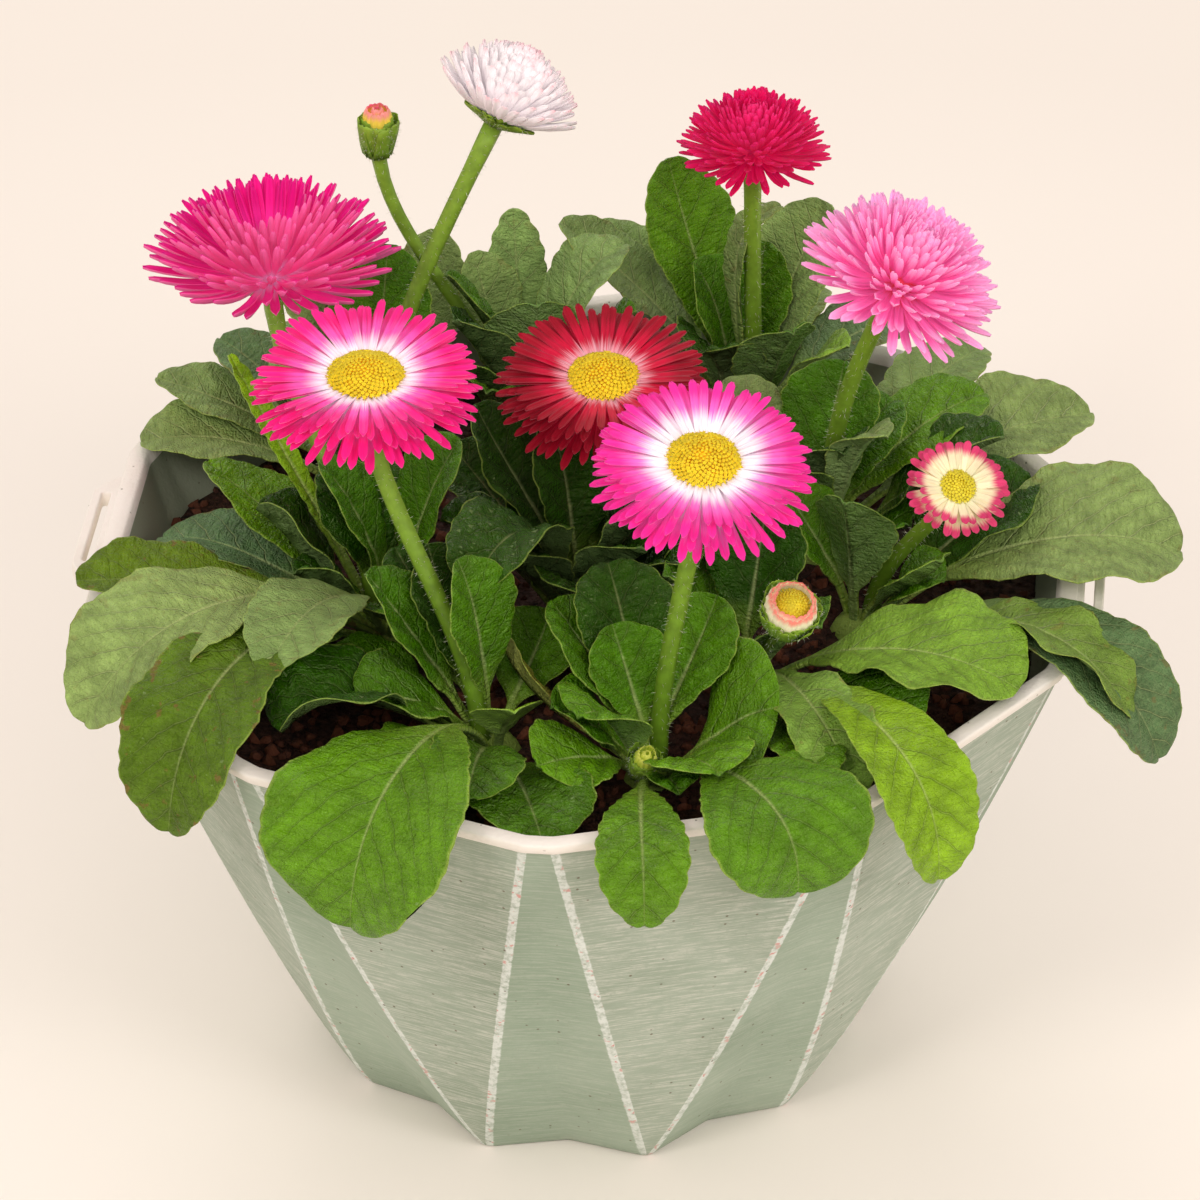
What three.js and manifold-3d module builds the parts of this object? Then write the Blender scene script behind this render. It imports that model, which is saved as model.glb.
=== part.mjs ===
// Potted english daisy: a ten-sided bowl planter with a bed of bellis plants in bloom.
// Lengths are millimetres and angles degrees, +Z is up, the origin is the middle of the pot's
// underside, and the side shown in the photo faces -Y.
import * as THREE from 'three';
import { mergeVertices } from 'three/addons/utils/BufferGeometryUtils.js';
import Module from 'manifold-3d';

const wasm = await Module();
wasm.setup();

// Driving dimensions of the pot
const potHeight = 133;
const potSides = 10;
const potTurn = 12.5;             // first wide facet, counted from the front towards +X
const rimRadius = 120;            // centre to a rim corner
const rimWidth = 4.6;             // flat top of the rim
const rimDrop = 3;                // thickness of the rim's edge
const rimStep = 1.2;              // how far the rim stands out from the wall
const footRadius = 62;            // centre to a point of the star foot
const footHollow = 4.5;           // how far a narrow facet is hollowed at the foot
const wallThickness = 3.2;
const floorThickness = 4;
const wallBulge = 0.86;           // below 1 the wall swells outwards
const wallLevels = [0, 18, 50, 90];
const cavityLevels = [floorThickness, 60, potHeight];
const narrowHalfAngle = 1.5;      // half of a narrow facet at the rim
const footPointHalf = 0.7;        // half of a foot point's blunt end

// Grip tabs
const tabReach = 6;
const tabRootLength = 46;
const tabEndLength = 34;
const tabThickness = 4.2;
const slotLength = 30;
const slotWidth = 2.2;
const slotInset = 1.4;
const tabSides = [-3, 2];         // wide facets that carry a tab

// Soil and crowns
const soilLevel = 115.5;
const soilMound = 1.5;
const soilLump = 1.2;
const soilRings = [1, 0.76, 0.42];
const gap = 0.3;
const crownRadius = 7;
const crownFoot = 106;
const crownShoulder = 118;
const crownTop = 121;
const crownSides = 6;
const rootOut = 1;                // where an upright stalk starts, out from the crown's middle
const rootSpread = 4.5;           // how much further out a level one starts
const rootHeight = 115.8;         // where a level stalk starts
const rootClimb = 3;              // how much higher an upright one starts

// Leaves and stalks
const wideStations = [0, 0.26, 0.42, 0.6, 0.79, 0.94, 1];
const middleStations = [0, 0.28, 0.5, 0.74, 0.93, 1];
const smallStations = [0, 0.32, 0.6, 0.89, 1];
const wideLeaf = 22;              // width from which a leaf gets the wide stations
const smallLeaf = 21;             // width under which it gets the small ones and a flat top
const leafThickness = 1.1;
const stalkHalfWidth = 1.7;
const stalkThickness = 2;
const stalkShare = 0.22;          // share of the leaf that is bare stalk
const leafCup = 14;               // how far the two halves of a blade are folded up
const leafTooth = 0.045;
const leafWave = 0.03;

// Flower stalks, bracts, petals and discs
const scapeRadius = 2.1;
const scapeSides = 5;
const scapeSteps = 4;
const scapePull = 0.35;           // length of the stalk curve's handles, as a share of its chord
const bractCount = 8;
const starDepth = 5;              // from the petals down to the stalk's end, under an open bloom
const cupDepth = 7;               // and under a bud
const rayWaist = 0.78;            // place of a petal's widest section along its length
const topTuft = 1;                // how far the last point of a head stands up
const discCount = 8;              // florets round a disc
const floretHeight = 0.8;

const DEG = Math.PI / 180;
const UP = new THREE.Vector3(0, 0, 1);

// One material for each kind of surface
function surface(colour, roughness) {
  return new THREE.MeshStandardMaterial({ color: colour, roughness, metalness: 0 });
}
const potMaterial = surface('#b3bfb1', 0.6);
const soilMaterial = surface('#3a2219', 0.95);
const leafMaterial = surface('#3f7a22', 0.5);
const discMaterial = surface('#e8c21c', 0.7);

const daisy = new THREE.Group();

// A repeatable draw between two values
function makeDraw(seed) {
  let state = seed;
  return (low, high) => {
    state = (state * 16807) % 2147483647;
    return low + (high - low) * (state / 2147483647);
  };
}

// A closed geometry from points and triangles, turned so that its faces point outwards
function closedGeometry(points, faces) {
  let volume = 0;
  for (const [a, b, c] of faces) {
    volume += points[a].dot(points[b].clone().cross(points[c]));
  }
  const outward = volume > 0 ? faces : faces.map(([a, b, c]) => [a, c, b]);
  const geometry = new THREE.BufferGeometry();
  const flat = points.flatMap((point) => point.toArray());
  geometry.setAttribute('position', new THREE.Float32BufferAttribute(flat, 3));
  geometry.setIndex(outward.flat());
  return geometry;
}

function solidOf(geometry) {
  const bare = geometry.clone();
  bare.deleteAttribute('normal');
  bare.deleteAttribute('uv');
  const merged = mergeVertices(bare, 1e-4);
  return new wasm.Manifold(new wasm.Mesh({
    numProp: 3,
    vertProperties: new Float32Array(merged.attributes.position.array),
    triVerts: new Uint32Array(merged.index.array),
  }));
}

function geometryOf(solid) {
  const mesh = solid.getMesh();
  const geometry = new THREE.BufferGeometry();
  geometry.setAttribute('position', new THREE.BufferAttribute(mesh.vertProperties, 3));
  geometry.setIndex(new THREE.BufferAttribute(mesh.triVerts, 1));
  return geometry;
}

function addMesh(parent, name, geometry, material) {
  geometry.computeVertexNormals();
  const mesh = new THREE.Mesh(geometry, material);
  mesh.name = name;
  parent.add(mesh);
}

// Skin over stacked rings of equal length, closed by a fan at both ends
function ringSkin(rings) {
  const count = rings[0].length;
  const points = rings.flat();
  const faces = [];
  for (let level = 0; level < rings.length - 1; level += 1) {
    for (let i = 0; i < count; i += 1) {
      const a = level * count + i;
      const b = level * count + (i + 1) % count;
      faces.push([a, b, b + count], [a, b + count, a + count]);
    }
  }
  const middleOf = (ring) => ring.reduce((sum, p) => sum.add(p), new THREE.Vector3())
    .divideScalar(count);
  const foot = points.push(middleOf(rings[0])) - 1;
  const top = points.push(middleOf(rings[rings.length - 1])) - 1;
  const last = (rings.length - 1) * count;
  for (let i = 0; i < count; i += 1) {
    faces.push([foot, (i + 1) % count, i], [top, last + i, last + (i + 1) % count]);
  }
  return closedGeometry(points, faces);
}

// Pot: the outline at any height, counted from the front towards +X
function around(angle, radius, height) {
  return new THREE.Vector3(radius * Math.sin(angle * DEG), -radius * Math.cos(angle * DEG), height);
}

function bowlRing(height, inset) {
  const climb = height / potHeight;
  const wallRim = rimRadius - rimStep;
  const radius = footRadius + (wallRim - footRadius) * climb ** wallBulge - inset;
  const rimHalf = (180 / potSides - narrowHalfAngle) * DEG;
  const rimHalfWidth = wallRim * Math.tan(rimHalf);
  const halfWidth = footPointHalf + (rimHalfWidth - footPointHalf) * climb;
  const halfAngle = Math.atan(halfWidth / (radius + inset)) / DEG;
  const flat = radius * Math.cos((180 / potSides - halfAngle) * DEG);
  const valley = flat - footHollow * (1 - climb) ** 1.5;
  const ring = [];
  for (let side = 0; side < potSides; side += 1) {
    const centre = potTurn + side * 360 / potSides;
    ring.push(around(centre - halfAngle, radius, height));
    ring.push(around(centre + halfAngle, radius, height));
    ring.push(around(centre + 180 / potSides, valley, height));
  }
  return ring;
}

function cavityRing(height, inset) {
  const upper = cavityLevels.findIndex((level) => level >= height - 1e-9) || 1;
  const [low, high] = [cavityLevels[upper - 1], cavityLevels[upper]];
  const share = (height - low) / (high - low);
  const topInset = rimWidth - rimStep;
  const insetAt = (level) => inset + (level === potHeight ? topInset : wallThickness);
  const lowRing = bowlRing(low, insetAt(low));
  const highRing = bowlRing(high, insetAt(high));
  return lowRing.map((point, i) => point.clone().lerp(highRing[i], share));
}

function gripTab(side) {
  const flatRadius = rimRadius * Math.cos((180 / potSides - narrowHalfAngle) * DEG);
  const outline = new THREE.Shape([
    new THREE.Vector2(-tabRootLength / 2, -rimWidth / 2),
    new THREE.Vector2(tabRootLength / 2, -rimWidth / 2),
    new THREE.Vector2(tabRootLength / 2, 0),
    new THREE.Vector2(tabEndLength / 2, tabReach),
    new THREE.Vector2(-tabEndLength / 2, tabReach),
    new THREE.Vector2(-tabRootLength / 2, 0),
  ]);
  const geometry = new THREE.ExtrudeGeometry(outline, { depth: tabThickness, bevelEnabled: false });
  geometry.translate(0, flatRadius, potHeight - tabThickness);
  geometry.rotateZ((180 + potTurn + side * 360 / potSides) * DEG);
  return solidOf(geometry);
}

function gripSlot(side) {
  const flatRadius = rimRadius * Math.cos((180 / potSides - narrowHalfAngle) * DEG);
  const geometry = new THREE.BoxGeometry(slotLength, slotWidth, 4 * tabThickness);
  geometry.translate(0, flatRadius + slotInset + slotWidth / 2, potHeight);
  geometry.rotateZ((180 + potTurn + side * 360 / potSides) * DEG);
  return solidOf(geometry);
}

function makePot() {
  const rings = wallLevels.map((height) => bowlRing(height, 0));
  rings.push(bowlRing(potHeight - rimDrop, 0));
  rings.push(bowlRing(potHeight - rimDrop, -rimStep));
  rings.push(bowlRing(potHeight, -rimStep));
  let pot = solidOf(ringSkin(rings));
  for (const side of tabSides) {
    pot = pot.add(gripTab(side)).subtract(gripSlot(side));
  }
  const cavity = cavityLevels.map((height) => cavityRing(height, 0));
  cavity.push(cavity[cavity.length - 1].map((point) => point.clone().setZ(potHeight + 1)));
  pot = pot.subtract(solidOf(ringSkin(cavity)));
  addMesh(daisy, 'pot', geometryOf(pot), potMaterial);
}

// Soil: fills the bowl, with a lumpy top and a plain hole for each plant's neck
function makeSoil(crowns) {
  const draw = makeDraw(5);
  const edge = cavityRing(soilLevel, gap);
  const rings = [cavityRing(cavityLevels[0], gap), cavityRing(cavityLevels[1], gap)];
  rings[0].forEach((point) => point.setZ(floorThickness + gap));
  for (const share of soilRings) {
    const lift = soilMound * (1 - share * share);
    rings.push(edge.map((point) => {
      const lump = share < 1 ? draw(-soilLump, soilLump) : 0;
      return new THREE.Vector3(point.x * share, point.y * share, soilLevel + lift + lump);
    }));
  }
  let soil = solidOf(ringSkin(rings));
  for (const [x, y] of crowns) {
    const radius = crownRadius + gap;
    const hole = new THREE.CylinderGeometry(radius, radius, 40, crownSides);
    hole.rotateX(90 * DEG).translate(x, y, crownFoot - gap + 20);
    soil = soil.subtract(solidOf(hole));
  }
  addMesh(daisy, 'soil', geometryOf(soil), soilMaterial);
}

// Length of a curve's handles, as a share of its chord, for an arc that turns by this angle
function arcPull(turn) {
  const angle = Math.max(20, Math.abs(turn)) * DEG;
  return 2 / 3 * Math.tan(angle / 4) / Math.sin(angle / 2);
}

// Leaf: a thin spoon along a curve from the crown to its tip
function leafSolid(root, row, phase) {
  const [tipX, tipY, tipZ, rise, fall, bow, width, roll] = row;
  const tip = new THREE.Vector3(tipX, tipY, tipZ);
  const heading = Math.atan2(tip.y - root.y, tip.x - root.x);
  const pull = root.distanceTo(tip) * arcPull(rise - fall);
  const direction = (turn, pitch) => new THREE.Vector3(
    Math.cos(heading + turn * DEG) * Math.cos(pitch * DEG),
    Math.sin(heading + turn * DEG) * Math.cos(pitch * DEG),
    Math.sin(pitch * DEG),
  );
  const curve = new THREE.CubicBezierCurve3(
    root,
    root.clone().addScaledVector(direction(bow, rise), pull),
    tip.clone().addScaledVector(direction(-bow, fall), -pull),
    tip,
  );
  const across = new THREE.Vector3(-Math.sin(heading), Math.cos(heading), 0);
  const small = width < smallLeaf;
  const fullStations = width < wideLeaf ? middleStations : wideStations;
  const stations = small ? smallStations : fullStations;
  const last = stations.length - 1;
  const points = [];
  stations.forEach((share, i) => {
    const centre = curve.getPoint(share);
    if (i === last) {
      points.push(centre);
      return;
    }
    const along = curve.getTangent(share);
    const side = across.clone().addScaledVector(along, -across.dot(along)).normalize();
    side.applyAxisAngle(along, roll * share * DEG);
    const normal = along.clone().cross(side);
    const blade = Math.max(0, (share - stalkShare) / (1 - stalkShare));
    const swell = Math.sin(Math.PI * blade ** 1.36) ** 0.72 || 0;
    const tooth = 1 + leafTooth * (i % 2 ? 1 : -1) * Math.sign(blade);
    const half = Math.max(stalkHalfWidth, width / 2 * swell * tooth);
    const spread = Math.min(1, blade * 3);
    const thick = stalkThickness + (leafThickness - stalkThickness) * spread;
    const cup = small ? thick / 2 : half * Math.sin(leafCup * DEG) * spread;
    const wave = width * leafWave * swell * Math.sin(phase + i * 2.2);
    const edgeOut = half * Math.cos(leafCup * DEG);
    const offset = (out, up) => centre.clone().addScaledVector(side, out).addScaledVector(normal, up);
    points.push(offset(edgeOut, cup + wave));
    if (!small) {
      points.push(offset(0, thick / 2));
    }
    points.push(offset(-edgeOut, cup - wave), offset(0, -thick / 2));
  });
  const corners = small ? 3 : 4;
  const mirrored = small ? [0, 1] : [1, 2];
  const faces = small ? [[0, 2, 1]] : [[0, 3, 1], [1, 3, 2]];
  for (let i = 0; i < last; i += 1) {
    for (let k = 0; k < corners; k += 1) {
      const a = i * corners + k;
      const b = i * corners + (k + 1) % corners;
      if (i === last - 1) {
        faces.push([a, b, points.length - 1]);
      } else if (mirrored.includes(k)) {
        faces.push([a, b, a + corners], [b, b + corners, a + corners]);
      } else {
        faces.push([a, b, b + corners], [a, b + corners, a + corners]);
      }
    }
  }
  return solidOf(closedGeometry(points, faces));
}

// Skin of staggered rings in which every diamond between four points can grow a petal or a floret
function diamondSkin(count, profile, cellPoints, topRing) {
  const points = [];
  const faces = [];
  const step = 360 / count;
  profile.forEach(([radius, height], ring) => {
    for (let i = 0; i < count; i += 1) {
      const angle = (i + (ring % 2) / 2) * step * DEG;
      points.push(new THREE.Vector3(radius * Math.cos(angle), radius * Math.sin(angle), height));
    }
  });
  const at = (ring, i) => ring * count + i % count;
  const between = (ring, i) => (ring % 2 ? i + 1 : i);
  for (let ring = 1; ring < profile.length - 1; ring += 1) {
    for (let i = 0; i < count; i += 1) {
      const middle = between(ring, i);
      const base = [at(ring - 1, middle), at(ring, i + 1), at(ring + 1, middle), at(ring, i)];
      const angle = (i + (ring % 2) / 2 + 0.5) * step;
      const centre = new THREE.Vector3();
      base.forEach((index) => centre.addScaledVector(points[index], 0.25));
      const { sections, tip } = cellPoints(ring, angle, centre);
      let lower = base;
      for (const section of sections) {
        const upper = section.map((point) => points.push(point) - 1);
        for (let k = 0; k < 4; k += 1) {
          const next = (k + 1) % 4;
          faces.push([lower[k], lower[next], upper[next]], [lower[k], upper[next], upper[k]]);
        }
        lower = upper;
      }
      const end = points.push(tip) - 1;
      for (let k = 0; k < 4; k += 1) {
        faces.push([lower[k], lower[(k + 1) % 4], end]);
      }
    }
  }
  const top = profile.length - 1;
  const foot = points.push(new THREE.Vector3(0, 0, profile[0][1])) - 1;
  let rim = (i) => at(top, i);
  for (let i = 0; i < count; i += 1) {
    faces.push([foot, at(0, i + 1), at(0, i)]);
    faces.push([at(0, i), at(0, i + 1), at(1, i)]);
    faces.push([at(top - 1, between(top, i)), at(top, i + 1), at(top, i)]);
  }
  if (topRing) {
    const first = points.length;
    for (let i = 0; i < count; i += 1) {
      const corner = points[at(top, i)];
      const scale = topRing.radius / Math.hypot(corner.x, corner.y);
      points.push(new THREE.Vector3(corner.x * scale, corner.y * scale, topRing.height));
    }
    for (let i = 0; i < count; i += 1) {
      const a = first + i;
      const b = first + (i + 1) % count;
      faces.push([at(top, i), at(top, i + 1), b], [at(top, i), b, a]);
    }
    rim = (i) => first + i % count;
  }
  const crestHeight = topRing ? topRing.height : profile[top][1] + topTuft;
  const crest = points.push(new THREE.Vector3(0, 0, crestHeight)) - 1;
  for (let i = 0; i < count; i += 1) {
    faces.push([crest, rim(i), rim(i + 1)]);
  }
  return closedGeometry(points, faces);
}

// Rays: petals in tiers round a small receptacle
function rayGeometry(kind, size, seed) {
  const draw = makeDraw(seed);
  const cellPoints = (ring, angle, centre) => {
    const [lift, length, width, thick, curl] = kind.tiers[ring - 1];
    const reach = length * size * draw(0.9, 1.03);
    const pitch = (lift + draw(-2.5, 2.5)) * DEG;
    const turn = (angle + draw(-0.12, 0.12) * 360 / kind.count) * DEG;
    const along = new THREE.Vector3(
      Math.cos(turn) * Math.cos(pitch), Math.sin(turn) * Math.cos(pitch), Math.sin(pitch));
    const side = new THREE.Vector3(-Math.sin(turn), Math.cos(turn), 0);
    const normal = along.clone().cross(side);
    const waist = centre.clone().addScaledVector(along, reach * rayWaist)
      .addScaledVector(normal, curl * 0.3);
    const section = [
      waist.clone().addScaledVector(normal, -thick / 2),
      waist.clone().addScaledVector(side, width * size / 2),
      waist.clone().addScaledVector(normal, thick / 2),
      waist.clone().addScaledVector(side, -width * size / 2),
    ];
    const tip = centre.clone().addScaledVector(along, reach).addScaledVector(normal, curl);
    return { sections: [section], tip };
  };
  const profile = kind.profile.map(([radius, height]) => [radius * size, height * size + gap]);
  const dish = kind.dish ? { radius: kind.dish[0] * size, height: kind.dish[1] * size + gap } : null;
  return diamondSkin(kind.count, profile, cellPoints, dish);
}

// Disc: a dome packed with pointed florets
function discGeometry(radius, height, count, foot) {
  const profile = [0, 14, 34, 54, 72].map((angle) => [
    radius * Math.cos(angle * DEG), foot + height * Math.sin(angle * DEG)]);
  const cellPoints = (ring, angle, centre) => {
    const out = new THREE.Vector3(centre.x, centre.y, (centre.z - foot + 1) * radius / height);
    const tip = centre.clone().addScaledVector(out.normalize(), floretHeight);
    return { sections: [], tip };
  };
  return diamondSkin(count, profile, cellPoints, null);
}

// Kinds of bloom. A tier is: lift, length, width, thickness, curl. Outer tiers come first.
const kinds = {
  open: {
    count: 16,
    profile: [[8.4, 0], [8.9, 0.9], [8.9, 1.8], [8.7, 2.7], [8.2, 3.6]],
    dish: [7.7, 2.2],
    tiers: [[-5, 17, 4.2, 0.9, -1], [5, 16.5, 4.1, 0.9, -0.5], [15, 14.5, 3.8, 0.9, 0]],
    bracts: 9.6,
  },
  small: {
    count: 14,
    profile: [[4.6, 0], [5, 0.9], [4.9, 1.8], [4.5, 2.7]],
    dish: [4.1, 1.4],
    tiers: [[4, 7.8, 2.7, 0.8, 0.6], [20, 7.3, 2.6, 0.8, 0.8]],
    bracts: 5.6,
  },
  quilled: {
    count: 12,
    profile: [[7.6, 0], [8, 1.2], [7.4, 2.6], [6.2, 3.8], [4.6, 4.8], [2.6, 5.4]],
    dish: [1.9, 4.8],
    tiers: [
      [3, 21, 4.4, 1.4, 1], [17, 20.5, 4.3, 1.4, 1.5], [34, 18.5, 4, 1.3, 1.5], [54, 15, 3, 1.2, 0],
    ],
    bracts: 9.4,
  },
  dome: {
    count: 12,
    profile: [[7.2, 0], [7.8, 1.4], [7.4, 3], [6.2, 4.4], [4.6, 5.6], [2.6, 6.4]],
    dish: [1.9, 5.8],
    tiers: [
      [-6, 17, 4.4, 1.4, 1], [16, 17, 4.3, 1.4, 1.5], [38, 16, 3.8, 1.3, 1.5], [60, 14, 2.8, 1.2, 1],
    ],
    bracts: 9,
  },
  cupped: {
    count: 12,
    profile: [[7.2, 0], [7.8, 1.4], [7.4, 3], [6.2, 4.4], [4.6, 5.6], [2.6, 6.4]],
    dish: [1.9, 5.8],
    tiers: [
      [6, 17, 4.4, 1.3, 1], [28, 19, 4.3, 1.3, 2], [50, 20, 3.8, 1.3, 2], [70, 20, 2.8, 1.2, 1],
    ],
    bracts: 9,
  },
  bud: {
    count: 8,
    profile: [[4.4, 0], [4.4, 1.1], [4, 2.2], [3.2, 3.2]],
    dish: [2.6, 2.2],
    tiers: [[62, 4.8, 2.2, 0.9, 1.6], [76, 3.2, 1.7, 0.8, 1.2]],
    bracts: 4.6,
  },
};

// Blooms: the plant each grows from, its centre, the way it faces (a compass turn from the front
// towards +X, and a tilt from upright), its kind, size and colour, and its disc if it has one.
const blooms = {
  magenta_left: {
    plant: 'left', at: [-75, 34, 187], turn: 200, tilt: 4, kind: 'quilled', size: 1.1,
    colour: '#d5186f', disc: [1.7, 2],
  },
  white_back_left: {
    plant: 'back_left', at: [-22, 66, 213], turn: 120, tilt: 30, kind: 'cupped', size: 0.8,
    colour: '#f3dde6',
  },
  crimson_back_right: {
    plant: 'back_right', at: [39, 74, 199], turn: 0, tilt: 6, kind: 'dome', size: 0.76,
    colour: '#d00c44',
  },
  pink_right: {
    plant: 'right', at: [71, 8, 201], turn: 60, tilt: 24, kind: 'dome', size: 1,
    colour: '#f077a8', disc: [1.7, 2], discColour: '#e8505a',
  },
  pink_front_left: {
    plant: 'front_left', at: [-50, -44, 205], turn: 0, tilt: 7, kind: 'open', size: 1.04,
    colour: '#e8409b', disc: [7.4, 3.6],
  },
  red_centre: {
    plant: 'centre', at: [3, 2, 177], turn: 0, tilt: 12, kind: 'open', size: 1,
    colour: '#b8102a', disc: [7.2, 3.4],
  },
  pink_front: {
    plant: 'front', at: [25, -66, 197], turn: 10, tilt: 16, kind: 'open', size: 1,
    colour: '#ea4fb0', disc: [7.2, 3.4],
  },
  cream_right: {
    plant: 'middle_right', at: [84, -24, 165], turn: 20, tilt: 34, kind: 'small', size: 1,
    colour: '#f2b8b8', disc: [3.9, 1.9],
  },
  bud_opening: {
    plant: 'right_front', at: [45, -58, 154], turn: 20, tilt: 30, kind: 'bud', size: 1.25,
    colour: '#f0c890', disc: [2.3, 1.4],
  },
  bud_back: {
    plant: 'back', at: [-51, 76, 203], turn: 0, tilt: 4, kind: 'bud', size: 1,
    colour: '#e06a70',
  },
  bud_front: {
    plant: 'front', at: [12, -79, 127], turn: 20, tilt: 30, kind: 'bud', size: 0.75,
    colour: '#b9c24a',
  },
};

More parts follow.
